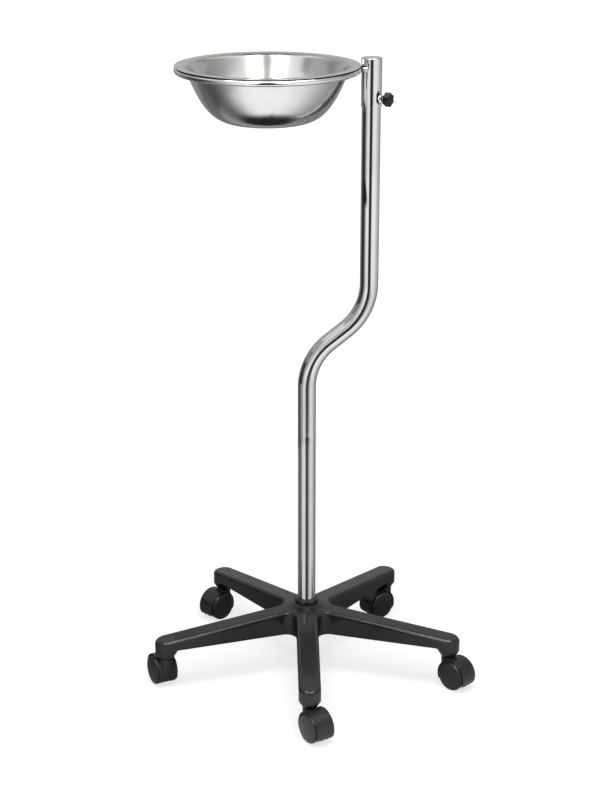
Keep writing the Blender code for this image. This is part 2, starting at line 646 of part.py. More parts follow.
def make_sleeve(head, clamp):
    wall = tube_profile(SLEEVE_RADIUS, COLUMN_SOCKET, SLEEVE_BOTTOM, SLEEVE_TOP)
    sleeve = turned_part("ring_sleeve", wall, TURNED_SEGMENTS, POLISHED_STEEL, head, closed=True)
    hole = cylinder_mesh("sleeve_stud_hole", STUD_RADIUS + FIT_GAP, 0.0, NUT_OUTER, PIN_SEGMENTS, ALONG_X)
    add_boolean(sleeve, new_cutter("sleeve_stud_hole", hole, clamp), "DIFFERENCE")
    turned_part("sleeve_cap", cap_profile(), TURNED_SEGMENTS, POLISHED_STEEL, head)


def sleeve_cope(name, head):
    """Space of the sleeve with its fit gap, cut out of what is welded to its side."""
    mesh = cylinder_mesh(name, SLEEVE_RADIUS + FIT_GAP, SLEEVE_BOTTOM, HEAD_TOP, TURNED_SEGMENTS)
    return new_cutter(name, mesh, head)


def make_ring(head, seat):
    circle = arc((RING_RADIUS, RING_HEIGHT), ROD_RADIUS, math.pi / 2, -3 * math.pi / 2, ROD_SEGMENTS)
    section = circle[:-1]
    ring = turned_part("basin_ring", section, RING_SEGMENTS, POLISHED_STEEL, seat, closed=True)
    add_boolean(ring, sleeve_cope("ring_cope", head), "DIFFERENCE")


def make_basin(seat):
    """Underside of the basin from the rim's edge to the middle of the foot; the wall grows inwards."""
    bowl_height = BASIN_DEPTH - BASIN_WALL
    profile = [(RIM_RADIUS, RIM_UNDERSIDE)]
    for step in range(BASIN_STEPS, -1, -1):
        share = step / BASIN_STEPS
        radius = BASIN_FOOT_RADIUS + (MOUTH_RADIUS - BASIN_FOOT_RADIUS) * share
        profile.append((radius, RIM_UNDERSIDE - bowl_height * (1 - share ** BASIN_CURVE)))
    profile.append((0.0, RIM_UNDERSIDE - bowl_height))
    basin = turned_part("basin", profile, BASIN_SEGMENTS, POLISHED_STEEL, seat)
    wall = basin.modifiers.new("wall", "SOLIDIFY")
    wall.thickness = BASIN_WALL
    wall.offset = -1.0
    wall.use_even_offset = True


def knob_mesh():
    """Lobed knob along +X with rounded edges, its back face at the knob's start."""
    shape = bmesh.new()
    points = KNOB_LOBES * KNOB_POINTS_PER_LOBE
    bmesh.ops.create_circle(shape, cap_ends=True, segments=points, radius=KNOB_RADIUS)
    for vert in shape.verts:
        angle = math.atan2(vert.co.y, vert.co.x)
        vert.co *= 1 + KNOB_LOBE_HEIGHT / KNOB_RADIUS * math.cos(KNOB_LOBES * angle)
    raised = bmesh.ops.extrude_face_region(shape, geom=shape.faces[:])
    top = [item for item in raised["geom"] if isinstance(item, bmesh.types.BMVert)]
    bmesh.ops.translate(shape, verts=top, vec=(0, 0, KNOB_LENGTH))
    bmesh.ops.recalc_face_normals(shape, faces=shape.faces)
    ends = [edge for edge in shape.edges if abs(edge.verts[0].co.z - edge.verts[1].co.z) < MERGE]
    bmesh.ops.bevel(shape, geom=ends, offset=KNOB_EDGE, offset_type="OFFSET", segments=KNOB_EDGE_STEPS,
                    profile=0.5, affect="EDGES", material=-1)
    bmesh.ops.transform(shape, verts=shape.verts, matrix=Matrix.Translation((KNOB_START, 0, 0)) @ ALONG_X)
    return mesh_from_bmesh("clamp_knob", shape)


def make_clamp(head, clamp):
    hole_radius = STUD_RADIUS + FIT_GAP
    inside = SLEEVE_RADIUS - NUT_HEIGHT
    hexagon = cylinder_mesh("clamp_nut", hex_corner(NUT_FLATS), inside, NUT_OUTER, HEX_SIDES, ALONG_X)
    nut = new_part("clamp_nut", hexagon, POLISHED_STEEL, clamp)
    add_boolean(nut, sleeve_cope("nut_cope", head), "DIFFERENCE")
    nut_hole = cylinder_mesh("nut_hole", hole_radius, 0.0, NUT_OUTER + CUT_OVERRUN, PIN_SEGMENTS, ALONG_X)
    add_boolean(nut, new_cutter("nut_hole", nut_hole, clamp), "DIFFERENCE")
    pad = cylinder_mesh("clamp_pad", STUD_RADIUS, COLUMN_SOCKET, PAD_END, PIN_SEGMENTS, ALONG_X)
    new_part("clamp_pad", pad, PLAIN_STEEL, clamp)
    stud = cylinder_mesh("clamp_stud", STUD_RADIUS, STUD_START, STUD_END, PIN_SEGMENTS, ALONG_X)
    new_part("clamp_stud", stud, PLAIN_STEEL, clamp)
    knob = new_part("clamp_knob", knob_mesh(), KNOB_PLASTIC, clamp)
    hole_end = KNOB_START + KNOB_HOLE_DEPTH
    knob_hole = cylinder_mesh("knob_hole", hole_radius, NUT_OUTER, hole_end, PIN_SEGMENTS, ALONG_X)
    add_boolean(knob, new_cutter("knob_hole", knob_hole, clamp), "DIFFERENCE")


def make_head():
    head = new_empty("head_axis", STAND, Matrix.Translation((COLUMN_OFFSET, 0, 0)))
    seat = new_empty("basin_axis", head, Matrix.Translation((-RING_REACH, 0, 0)))
    clamp = new_empty("clamp_axis", head, Matrix.Translation((0, 0, CLAMP_HEIGHT))
                      @ Matrix.Rotation(CLAMP_TURN, 4, "Z"))
    make_sleeve(head, clamp)
    make_ring(head, seat)
    make_clamp(head, clamp)
    make_basin(seat)


def centre_on_floor():
    """Moves the whole stand so that the origin lies under the middle of its bounding box."""
    bpy.context.view_layer.update()
    depsgraph = bpy.context.evaluated_depsgraph_get()
    corners = []
    for part in PARTS.objects:
        if part.type == "EMPTY":
            continue
        mesh = bpy.data.meshes.new_from_object(part.evaluated_get(depsgraph))
        corners += [part.matrix_world @ vert.co for vert in mesh.vertices]
        bpy.data.meshes.remove(mesh)
    middle = [(min(c[axis] for c in corners) + max(c[axis] for c in corners)) / 2 for axis in (0, 1)]
    STAND.location = (-middle[0], -middle[1], 0.0)
    bpy.context.view_layer.update()


make_base()
make_column()
make_column_foot()
make_casters()
make_head()
centre_on_floor()
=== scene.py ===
"""Looks of the basin stand: finished pieces, finishes, floor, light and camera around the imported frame."""
import json
import math

import bmesh
import bpy
from mathutils import Matrix, Vector


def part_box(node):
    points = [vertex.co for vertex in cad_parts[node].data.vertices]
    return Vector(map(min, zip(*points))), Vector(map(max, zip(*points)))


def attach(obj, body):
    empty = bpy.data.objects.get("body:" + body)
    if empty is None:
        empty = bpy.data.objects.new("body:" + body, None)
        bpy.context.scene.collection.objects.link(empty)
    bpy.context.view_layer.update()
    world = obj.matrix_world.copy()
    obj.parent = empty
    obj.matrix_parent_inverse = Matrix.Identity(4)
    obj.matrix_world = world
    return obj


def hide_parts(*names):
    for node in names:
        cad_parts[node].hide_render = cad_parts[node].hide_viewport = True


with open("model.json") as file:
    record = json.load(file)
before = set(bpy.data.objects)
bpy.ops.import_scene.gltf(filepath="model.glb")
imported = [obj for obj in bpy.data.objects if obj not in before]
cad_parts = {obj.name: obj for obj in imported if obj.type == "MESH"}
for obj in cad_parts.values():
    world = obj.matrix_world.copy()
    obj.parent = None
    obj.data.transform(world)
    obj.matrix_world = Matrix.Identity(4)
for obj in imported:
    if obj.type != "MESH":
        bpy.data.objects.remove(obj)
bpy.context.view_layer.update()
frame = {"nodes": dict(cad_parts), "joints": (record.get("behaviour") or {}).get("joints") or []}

# Caster wheels, in metres as all sizes here
WHEEL_RADIUS = 0.02469
WHEEL_WIDTH = 0.012
WHEEL_CROWN = 0.0026       # bulge of a wheel's outer face
WHEEL_SHOULDER = 0.0032    # rounding between the face and the tread
WHEEL_FACE_WALL = 0.003    # plastic between the axle's end and the outer face
WHEEL_BACK_ROUND = 0.0008  # rounding of the tread's inner edge
WHEEL_BACK_RIM = 0.003     # tread to the edge of the hollow in a wheel's back
WHEEL_BACK_FOOT = 0.004    # tread to the foot of that hollow's side
WHEEL_BACK_RECESS = 0.0012
WHEEL_BACK_EDGE = 0.0004
WHEEL_HUB_RADIUS = 0.0068
WHEEL_HUB_FOOT = 0.0075    # radius at the foot of the hub's side
WHEEL_HUB_EDGE = 0.0003
FACE_RADIUS = 0.0205       # where a wheel's face meets its shoulder
WHEEL_INSIDE = 0.009       # caster's middle to a wheel's inner face
AXLE_RADIUS = 0.003
AXLE_HEIGHT = 0.024692

# Caster hoods, barrels and stems
WEB_HALF = 0.0087          # half width of the solid middle between the wheels
HOOD_RADIUS = 0.0279
HOOD_INNER = 0.0268
HOOD_HALF = 0.0162
HOOD_LIFT = 0.0105         # floor to the hood's lower edge
HOOD_ROUND = 0.0006
HOOD_INNER_ROUND = 0.0003
HOOD_WEB_ROUND = 0.0012    # hollow corner between the drum and the web
HOOD_CORNER = 0.0040       # cut across the hood's lower corners
NOTCH_SIZE = (0.010, 0.0032, 0.0032)   # small notches in the hood's lower rear edge
NOTCH_PLACES = (-0.0095, 0.0, 0.0095)
BARREL_RADIUS = 0.012
BARREL_TOP = 0.051692
BARREL_BOTTOM = 0.024992
BARREL_ROUND = 0.0045      # rounding of the barrel's lower edge
BARREL_BROW = 0.0012       # rounding of its upper edge
BARREL_BORE_ROUND = 0.0004
CASTER_TRAIL = 0.018       # swivel axis to axle
STEM_RADIUS = 0.005
STEM_TOP = 0.0800
STEM_BOTTOM = 0.032
STEM_TOP_ROUND = 0.0008
STEM_FOOT_ROUND = 0.0004
SHOULDER_RADIUS = 0.009
SHOULDER_BOTTOM = 0.051992
SHOULDER_TOP = 0.053192
SHOULDER_ROUND = 0.0003

# Five-arm base
ARM_COUNT = 5
ARM_STEP = 2 * math.pi / ARM_COUNT
STAR_RADIUS = 0.250
STAR_TURN = math.radians(-89.0)
ARM_HALF = 0.018
ARM_EDGE = 0.0065          # rounding of the upper edges
ARM_BOTTOM = 0.070492
ARM_TOP_CENTRE = 0.115592
ARM_SLOPE = 0.1123
WEB_FILLET = 0.018         # plan fillet between neighbouring arms
BOSS_BOTTOM = 0.053492
BOSS_FOOT_RADIUS = 0.0125
BOSS_SPREAD = 0.62         # how fast a boss widens upwards
HUB_TOP = 0.118992
HUB_TOP_RADIUS = 0.0203
FLARE_RADIUS = 0.0385
FLARE_CURVE = 1.6          # power of the hub's hollow curve
SOCKET_RADIUS = 0.0066
SOCKET_TOP = 0.0803
COLUMN_SOCKET = 0.0153
HUB_FLOOR_TOP = 0.0880
HUB_FLOOR_BOTTOM = 0.0800
BOLT_HOLE = 0.0043
RECESS_RADIUS = 0.0125
POCKET_START = 0.058
POCKET_END = 0.2269
POCKET_ROOF = 0.0065
POCKET_HALF = 0.014
POCKET_CORNER = 0.003
POCKETS_PER_ARM = 2
RIB_WIDTH = 0.003

# Column and collar
COLUMN_RADIUS = 0.015
COLUMN_WALL = 0.0015
COLUMN_BOTTOM = 0.0883
COLUMN_TOP = 1.0397
BEND_RADIUS = 0.100
BEND_STRAIGHT = 0.03527
BEND_ANGLE = math.radians(50.5)
BEND_MIDDLE = 0.593
SHORT_ROW = 0.0015         # row of short faces at either end of a straight length
COLLAR_RADIUS = 0.0205
COLLAR_BOTTOM = 0.119292
COLLAR_TOP = 0.126992
COLLAR_SLOPE = 0.0022      # height and width of the collar's sloped top
COLLAR_LIP = 0.0012
COLLAR_TOP_ROUND = 0.0006
COLLAR_SIDE_ROUND = 0.0008
COLLAR_LIP_ROUND = 0.0004
COLLAR_FOOT_ROUND = 0.0002
COLLAR_BORE_ROUND = 0.0003
COLLAR_BORE_DROP = 0.0004  # collar's top to the upper edge of its bore

# Sleeve, ring and clamp
FIT_GAP = 0.0003           # between pieces that seat on or screw into each other
SLEEVE_RADIUS = 0.0162
SLEEVE_BOTTOM = 0.967
HEAD_TOP = 1.043
CAP_ROUND = 0.0017
SLEEVE_EDGE = 0.0004
RING_RADIUS = 0.1411
RING_HEIGHT = 1.0246
ROD_RADIUS = 0.0047
WELD_RADIUS = 0.0015
WELD_RISE = 0.0031         # ring's middle to the weld beads
WELD_REACH = 0.0167        # sleeve's axis to the weld beads
WELD_HALF_ANGLE = math.radians(26)
WELD_RIPPLE = 0.07         # share by which a bead's thickness ripples
WELD_END = 0.25            # thickness of a bead's ends as a share of its middle
NUT_FLATS = 0.010
NUT_OUTER = 0.0212
NUT_HEIGHT = 0.005
NUT_CHAMFER = 0.0009
STUD_RADIUS = 0.003
STUD_START = 0.0171
STUD_END = 0.0319
THREAD_PITCH = 0.0010
THREAD_DEPTH = 0.0005
THREAD_CREST_ROUND = 0.00012
THREAD_ROOT_ROUND = 0.00008
KNOB_START = 0.0242
KNOB_RADIUS = 0.0101
KNOB_LOBES = 6
KNOB_LOBE_HEIGHT = 0.0010
KNOB_LENGTH = 0.011
KNOB_EDGE = 0.0020
KNOB_HOLE = 0.0033
KNOB_HOLE_DEPTH = 0.008

# Rings of the knob's hollowed face: (radius, depth)
KNOB_FACE_RINGS = ((0.0068, 0.0), (0.0062, 0.0008), (0.0050, 0.0010), (0.0046, 0.0006), (0.0042, 0.0005))
KNOB_FACE_INSET = 0.0002   # first step inwards of each ring, before it takes its radius

# Basin
MOUTH_RADIUS = 0.129
RIM_UNDERSIDE = 1.0303
BOWL_HEIGHT = 0.0882
FOOT_RADIUS = 0.040
BASIN_WALL = 0.0008
BOWL_CURVE = 3.0           # power of the bowl's side curve
MOUTH_ROUND = 0.0045
DULL_SHADE_DEPTH = 0.006         # rim's underside to the end of its dull part, which is also painted dark as shade

# Rim's upper face from its edge inwards: (radius, rise)
RIM_SHAPE = ((0.1450, -0.0001), (0.1447, 0.0002), (0.1440, 0.0003), (0.1411, 0.0004), (0.1375, 0.0006),
             (0.1340, 0.0004))

# Facets
TURNED_FACETS = 96
TUBE_FACETS = 72
BEND_STEPS = 32
RING_FACETS = 224
ROD_FACETS = 32
BASIN_FACETS = 192
BOWL_STEPS = 28
WHEEL_FACETS = 80
DOME_STEPS = 8
HOOD_FACETS = 96
PIN_FACETS = 40
FILLET_STEPS = 14
TIP_STEPS = 36
EDGE_STEPS = 7
FLARE_STEPS = 14
ROUND_STEPS = 6
WELD_STEPS = 18
LOBE_POINTS = 16
HEX_SIDES = 6
SHARP_ANGLE = math.radians(32)   # shading breaks at edges sharper than this
RIM_ANGLE = math.radians(60)     # the base's upper edges are sharper than this
UPRIGHT_SHARE = 0.9        # an edge that rises by more than this share of its length is upright
FLAT_FACE_WEIGHT = 100
MERGE = 0.000005
OVERRUN = 0.010            # how far a cutter passes the faces it opens

FULL_TURN = 2 * math.pi
ALONG_X = Matrix.Rotation(math.radians(90), 4, "Y")
ALONG_Y = Matrix.Rotation(math.radians(-90), 4, "X")
UP = Vector((0, 0, 1))


# Places taken from the frame

def joint_of(name):
    return next(joint for joint in frame["joints"] if joint["name"] == name)


def node_middle(node):
    low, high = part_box(node)
    return (low + high) / 2


HUB = node_middle("hub_collar")
HUB_PLACE = Matrix.Translation((HUB.x, HUB.y, 0))
HEAD = Vector(joint_of("ring_swivel")["pos_m"])
HEAD_PLACE = Matrix.Translation((HEAD.x, HEAD.y, 0))
BOWL = node_middle("basin")
BOWL_PLACE = Matrix.Translation((BOWL.x, BOWL.y, 0))
CLAMP_POINT = Vector(joint_of("knob_turn")["pos_m"])
CLAMP_AXIS = Vector(joint_of("knob_turn")["axis"])
CLAMP_TURN = Matrix.Rotation(math.atan2(CLAMP_AXIS.y, CLAMP_AXIS.x), 4, "Z")
CLAMP_PLACE = Matrix.Translation(CLAMP_POINT) @ CLAMP_TURN @ ALONG_X


# Mesh tools

def verts_in(items):
    return [item for item in items if isinstance(item, bmesh.types.BMVert)]


def edges_in(items):
    return [item for item in items if isinstance(item, bmesh.types.BMEdge)]


def move(shape, matrix):
    bmesh.ops.transform(shape, verts=shape.verts, matrix=matrix)
    return shape


def moved_copy(shape, matrix):
    return move(shape.copy(), matrix)


def round_off(shape, items, size, steps=ROUND_STEPS, affect="EDGES"):
    bmesh.ops.bevel(shape, geom=items, offset=size, offset_type="OFFSET", segments=steps, profile=0.5,
                    affect=affect, material=-1)


def tidy(shape):
    bmesh.ops.remove_doubles(shape, verts=shape.verts, dist=MERGE)
    bmesh.ops.recalc_face_normals(shape, faces=shape.faces)
    return shape


def spin_round(shape, facets):
    """Turns an outline once about Z and closes the seam."""
    bmesh.ops.spin(shape, geom=shape.verts[:] + shape.edges[:], cent=(0, 0, 0), axis=UP, angle=FULL_TURN,
                   steps=facets, use_merge=True)


def turned(points, facets=TURNED_FACETS, closed=True, place=None):
    """Shape turned about Z from a few (radius, height, rounding) points."""
    shape = bmesh.new()
    verts = [shape.verts.new((radius, 0, height)) for radius, height, _ in points]
    for first, second in zip(verts, verts[1:]):
        shape.edges.new((first, second))
    if closed:
        shape.edges.new((verts[-1], verts[0]))
    for vert, (_, _, rounding) in zip(verts, points):
        if rounding:
            round_off(shape, [vert], rounding, affect="VERTICES")
    spin_round(shape, facets)
    if place:
        move(shape, place)
    return tidy(shape)


def rod_shape(radius, start, end, facets=PIN_FACETS, place=None, end_radius=None):
    """Closed cylinder or cone along Z from start to end."""
    shape = bmesh.new()
    middle = (place or Matrix.Identity(4)) @ Matrix.Translation((0, 0, (start + end) / 2))
    bmesh.ops.create_cone(shape, cap_ends=True, segments=facets, radius1=radius,
                          radius2=radius if end_radius is None else end_radius, depth=end - start,
                          matrix=middle)
    return shape


def merge_shapes(shapes):
    """One bmesh that holds several separate shapes."""
    whole = bmesh.new()
    for shape in shapes:
        mesh = bpy.data.meshes.new("working_mesh")
        shape.to_mesh(mesh)
        shape.free()
        whole.from_mesh(mesh)
        bpy.data.meshes.remove(mesh)
    return whole


def cut_off(shape, point, outward):
    """Takes away what lies outward of a plane and closes the cut."""
    cut = bmesh.ops.bisect_plane(shape, geom=shape.verts[:] + shape.edges[:] + shape.faces[:], plane_co=point,
                                 plane_no=outward, clear_outer=True)
    bmesh.ops.holes_fill(shape, edges=edges_in(cut["geom_cut"]), sides=0)


def new_object(name, shape):
    mesh = bpy.data.meshes.new(name)
    shape.to_mesh(mesh)
    shape.free()
    made = bpy.data.objects.new(name, mesh)
    bpy.context.scene.collection.objects.link(made)
    return made


def combined(first, others):
    """One closed shape from a first shape and (shape, operation) pairs, in order."""
    base = new_object("working_base", first)
    used = []
    for shape, operation in others:
        tool = new_object("working_tool", shape)
        step = base.modifiers.new(operation, "BOOLEAN")
        step.operation = operation
        step.solver = "EXACT"
        step.object = tool
        used.append(tool)
    bpy.context.view_layer.update()
    depsgraph = bpy.context.evaluated_depsgraph_get()
    mesh = bpy.data.meshes.new_from_object(base.evaluated_get(depsgraph))
    result = bmesh.new()
    result.from_mesh(mesh)
    bpy.data.meshes.remove(mesh)
    for tool in used + [base]:
        old = tool.data
        bpy.data.objects.remove(tool)
        bpy.data.meshes.remove(old)
    bmesh.ops.remove_doubles(result, verts=result.verts, dist=MERGE)
    return result


def finish_piece(name, shape, material, body, nodes=(), sharp=SHARP_ANGLE, flat_faces=False):
    """Object from a shape that rides on a body and stands for the CAD nodes."""
    piece = new_object(name, shape)
    piece.data.shade_smooth()
    piece.data.set_sharp_from_angle(angle=sharp)
    piece.data.materials.append(material)
    if flat_faces:
        weighted = piece.modifiers.new("flat_faces", "WEIGHTED_NORMAL")
        weighted.keep_sharp = True
        weighted.weight = FLAT_FACE_WEIGHT
    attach(piece, body)
    if nodes:
        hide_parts(*nodes)
    return piece


def give_wall(piece, thickness, even=False):
    """Thickens a skin inwards."""
    wall = piece.modifiers.new("wall", "SOLIDIFY")
    wall.thickness = thickness
    wall.offset = -1.0
    if even:
        wall.use_even_offset = True


# Node tools

def add_node(tree, kind, **settings):
    node = tree.nodes.new(kind)
    for name, value in settings.items():
        setattr(node, name, value)
    return node


def feed(tree, socket, value):
    """Links a socket to another one, or sets its value."""
    if isinstance(value, bpy.types.NodeSocket):
        tree.links.new(value, socket)
    else:
        socket.default_value = value


def feed_inputs(tree, node, **inputs):
    """Links or sets a node's inputs, named with _ for a space."""
    for name, value in inputs.items():
        feed(tree, node.inputs[name.replace("_", " ")], value)
    return node


def math_node(tree, operation, *values):
    node = add_node(tree, "ShaderNodeMath", operation=operation)
    for socket, value in zip(node.inputs, values):
        feed(tree, socket, value)
    return node.outputs[0]


def add_share(tree, value, extra, share):
    """A value with a share of another one added."""
    return math_node(tree, "ADD", value, math_node(tree, "MULTIPLY", extra, share))


def noise_node(tree, vector, scale, detail, roughness=0.5):
    node = add_node(tree, "ShaderNodeTexNoise")
    feed_inputs(tree, node, Vector=vector, Scale=scale, Detail=detail, Roughness=roughness)
    return node.outputs["Fac"]


def range_node(tree, value, low, high, to_low=0.0, to_high=1.0):
    node = add_node(tree, "ShaderNodeMapRange")
    feed_inputs(tree, node, Value=value, From_Min=low, From_Max=high, To_Min=to_low, To_Max=to_high)
    return node.outputs["Result"]


def colour_mix(tree, factor, first, second):
    node = add_node(tree, "ShaderNodeMix", data_type="RGBA")
    feed_inputs(tree, node, Factor=factor)
    colours = [socket for socket in node.inputs if socket.type == "RGBA"]
    for socket, value in zip(colours, (first, second)):
        feed(tree, socket, (*value, 1.0) if isinstance(value, tuple) else value)
    return next(socket for socket in node.outputs if socket.type == "RGBA")


def bump_node(tree, height, strength, distance):
    node = add_node(tree, "ShaderNodeBump")
    feed_inputs(tree, node, Height=height, Strength=strength, Distance=distance)
    return node.outputs["Normal"]


def new_group(name, inputs, outputs):
    group = bpy.data.node_groups.new(name, "ShaderNodeTree")
    for label, value in inputs:
        socket = group.interface.new_socket(label, in_out="INPUT", socket_type="NodeSocketFloat")
        socket.default_value = value
    for label in outputs:
        group.interface.new_socket(label, in_out="OUTPUT", socket_type="NodeSocketFloat")
    return group, group.nodes.new("NodeGroupInput").outputs, group.nodes.new("NodeGroupOutput")


def place_group(tree, group, **values):
    """Outputs of a group placed in a material with its own values."""
    return feed_inputs(tree, add_node(tree, "ShaderNodeGroup", node_tree=group), **values).outputs


def object_vector(tree):
    return add_node(tree, "ShaderNodeTexCoord").outputs["Object"]


def face_normal(tree):
    return add_node(tree, "ShaderNodeNewGeometry").outputs["Normal"]


def scaled_vector(tree, scale, centre=(0, 0, 0)):
    """Object coordinates measured from a centre and stretched."""
    node = add_node(tree, "ShaderNodeMapping", vector_type="POINT")
    offset = [-place * size for place, size in zip(centre, scale)]
    feed_inputs(tree, node, Vector=object_vector(tree), Location=offset, Scale=scale)
    return node.outputs["Vector"]


def split_vector(tree, vector):
    """X, Y and Z of a vector."""
    return feed_inputs(tree, add_node(tree, "ShaderNodeSeparateXYZ"), Vector=vector).outputs


def vector_length(tree, vector):
    node = add_node(tree, "ShaderNodeVectorMath", operation="LENGTH")
    feed(tree, node.inputs[0], vector)
    return node.outputs["Value"]


# Effects that several finishes share; a range is the part of a noise that becomes 0 to 1
COARSE_GRAIN_SCALE = 0.28  # coarse grain's scale and height as shares of the fine grain's
COARSE_GRAIN_HEIGHT = 0.6
CLOUD_RANGE = (0.32, 0.68)
DUST_SLOPE = (0.25, 1.0)   # upward part of a normal that holds no dust, and all of it
DUST_RANGE = (0.35, 0.75)
DUST_LEAST = 0.25
SMEAR_RANGE = (0.38, 0.70)
SCRATCH_BEND_SCALE = 40.0
SCRATCH_BEND_SHIFT = 0.5
SCRATCH_WIDTH = 0.02
SCRATCH_BREAK_SCALE = 70.0
SCRATCH_BREAK_RANGE = (0.55, 0.70)


def make_moulded_grain():
    """Fine pebbled grain, and the slow cloudy change of tone of moulded plastic."""
    group, given, made = new_group("moulded_grain", (("Grain Scale", 2600.0), ("Cloud Scale", 14.0)),
                                   ("Height", "Cloud"))
    where = object_vector(group)
    fine = noise_node(group, where, given["Grain Scale"], detail=2.0)
    coarse_scale = math_node(group, "MULTIPLY", given["Grain Scale"], COARSE_GRAIN_SCALE)
    coarse = noise_node(group, where, coarse_scale, detail=2.0)
    cloud = noise_node(group, where, given["Cloud Scale"], detail=3.0, roughness=0.6)
    feed_inputs(group, made, Height=add_share(group, fine, coarse, COARSE_GRAIN_HEIGHT),
                Cloud=range_node(group, cloud, *CLOUD_RANGE))
    return group


def make_settled_dust():
    """Thin dust on faces that look up, broken up by noise."""
    group, given, made = new_group("settled_dust", (("Amount", 0.2), ("Patch Scale", 38.0)), ("Mask",))
    upward = range_node(group, split_vector(group, face_normal(group))["Z"], *DUST_SLOPE)
    patches = noise_node(group, object_vector(group), given["Patch Scale"], detail=6.0, roughness=0.65)
    patches = range_node(group, patches, *DUST_RANGE, DUST_LEAST)
    mask = math_node(group, "MULTIPLY", math_node(group, "MULTIPLY", upward, patches), given["Amount"])
    feed_inputs(group, made, Mask=mask)
    return group


def make_handling_marks():
    """Faint wiped smears and hair scratches from use, for metal and smooth plastic."""
    group, given, made = new_group("handling_marks", (("Smear Scale", 24.0), ("Scratch Scale", 160.0)),
                                   ("Smear", "Scratch"))
    where = object_vector(group)
    smear = noise_node(group, where, given["Smear Scale"], detail=4.0, roughness=0.55)
    bend = noise_node(group, where, SCRATCH_BEND_SCALE, detail=2.0)
    bent = add_node(group, "ShaderNodeVectorMath", operation="SCALE")
    feed(group, bent.inputs[0], where)
    feed_inputs(group, bent, Scale=math_node(group, "ADD", bend, SCRATCH_BEND_SHIFT))
    cells = add_node(group, "ShaderNodeTexVoronoi", feature="DISTANCE_TO_EDGE")
    feed_inputs(group, cells, Vector=bent.outputs[0], Scale=given["Scratch Scale"])
    line = range_node(group, cells.outputs["Distance"], 0.0, SCRATCH_WIDTH, 1.0, 0.0)
    breaks = noise_node(group, where, SCRATCH_BREAK_SCALE, detail=2.0)
    broken = range_node(group, breaks, *SCRATCH_BREAK_RANGE)
    feed_inputs(group, made, Smear=range_node(group, smear, *SMEAR_RANGE),
                Scratch=math_node(group, "MULTIPLY", line, broken))
    return group


MOULDED_GRAIN = make_moulded_grain()
SETTLED_DUST = make_settled_dust()
HANDLING_MARKS = make_handling_marks()

# Finishes
DUST_COLOUR = (0.23, 0.22, 0.205)
# Painted shade: dark colour laid on the rim's underside for the shaded crevice over the ring rod
CREVICE_SHADE_COLOUR = (0.035, 0.033, 0.031)
DUST_ROUGHNESS = 0.4       # roughness that dust, the dull rim underside, smears and scratches add
UNDERSIDE_ROUGHNESS = 0.45
SMEAR_ROUGHNESS = 0.06
SCRATCH_ROUGHNESS = 0.12
SCRATCH_DEPTH = 0.8        # as a share of the polishing lines' depth
GRAIN_HEIGHT = 0.0002
LINE_HEIGHT = 0.00005
DRAWN_LINE_SCALE = 1800.0
DRAWN_LINE_STRETCH = 0.012
SPUN_LINE_SCALE = 1500.0
PLATING_SCALE = 3200.0
UNDERSIDE_FACING = (-0.75, -0.35)   # upward part of a normal that is wholly dull and painted shaded, and neither


def new_finish(name, metallic):
    material = bpy.data.materials.new(name)
    material.use_nodes = True
    tree = material.node_tree
    shader = tree.nodes["Principled BSDF"]
    shader.inputs["Metallic"].default_value = metallic
    return material, tree, shader


def plastic_finish(name, dark, light, gloss, grain_scale, grain_depth, dust_amount, specular):
    """Black moulded plastic: cloudy tone, pebbled grain, thin dust and faint rubbing."""
    material, tree, shader = new_finish(name, 0.0)
    shader.inputs["Specular IOR Level"].default_value = specular
    grain = place_group(tree, MOULDED_GRAIN, Grain_Scale=grain_scale)
    dust = place_group(tree, SETTLED_DUST, Amount=dust_amount)["Mask"]
    smear = place_group(tree, HANDLING_MARKS)["Smear"]
    tone = colour_mix(tree, grain["Cloud"], dark, light)
    tone = colour_mix(tree, dust, tone, DUST_COLOUR)
    rough = range_node(tree, grain["Cloud"], 0.0, 1.0, *gloss)
    rough = add_share(tree, rough, smear, SMEAR_ROUGHNESS)
    rough = add_share(tree, rough, dust, DUST_ROUGHNESS)
    feed_inputs(tree, shader, Base_Color=tone, Roughness=rough,
                Normal=bump_node(tree, grain["Height"], grain_depth, GRAIN_HEIGHT))
    return material


def metal_finish(name, clean, worn, gloss, lines, line_depth, dull_and_shade=None):
    """Bright metal: fine polishing lines, wiped smears, hair scratches and any dull part, painted dark as
    shade.
    """
    material, tree, shader = new_finish(name, 1.0)
    polished, smeared, lined = gloss
    marks = place_group(tree, HANDLING_MARKS)
    fine = lines(tree)
    tone = colour_mix(tree, marks["Smear"], clean, worn)
    rough = range_node(tree, marks["Smear"], 0.0, 1.0, polished, smeared)
    rough = add_share(tree, rough, fine, lined)
    rough = add_share(tree, rough, marks["Scratch"], SCRATCH_ROUGHNESS)
    if dull_and_shade:
        # Painted shade: the masked part is darkened as if in shadow, and made rougher
        underside_shade = dull_and_shade(tree)
        tone = colour_mix(tree, underside_shade, tone, CREVICE_SHADE_COLOUR)
        rough = add_share(tree, rough, underside_shade, UNDERSIDE_ROUGHNESS)
    height = math_node(tree, "SUBTRACT", fine, math_node(tree, "MULTIPLY", marks["Scratch"], SCRATCH_DEPTH))
    feed_inputs(tree, shader, Base_Color=tone, Roughness=rough,
                Normal=bump_node(tree, height, line_depth, LINE_HEIGHT))
    return material


def drawn_lines(tree):
    """Lines along a drawn tube, up its length."""
    return noise_node(tree, scaled_vector(tree, (1.0, 1.0, DRAWN_LINE_STRETCH)), DRAWN_LINE_SCALE, detail=2.0)


def spun_lines(tree):
    """Rings round the basin's axis, as left by spinning and polishing."""
    where = split_vector(tree, scaled_vector(tree, (1, 1, 1), (BOWL.x, BOWL.y, 0)))
    squares = [math_node(tree, "MULTIPLY", where[axis], where[axis]) for axis in "XY"]
    radius = math_node(tree, "SQRT", math_node(tree, "ADD", *squares))
    along = feed_inputs(tree, add_node(tree, "ShaderNodeCombineXYZ"), X=radius, Y=where["Z"])
    return noise_node(tree, along.outputs["Vector"], SPUN_LINE_SCALE, detail=3.0, roughness=0.6)


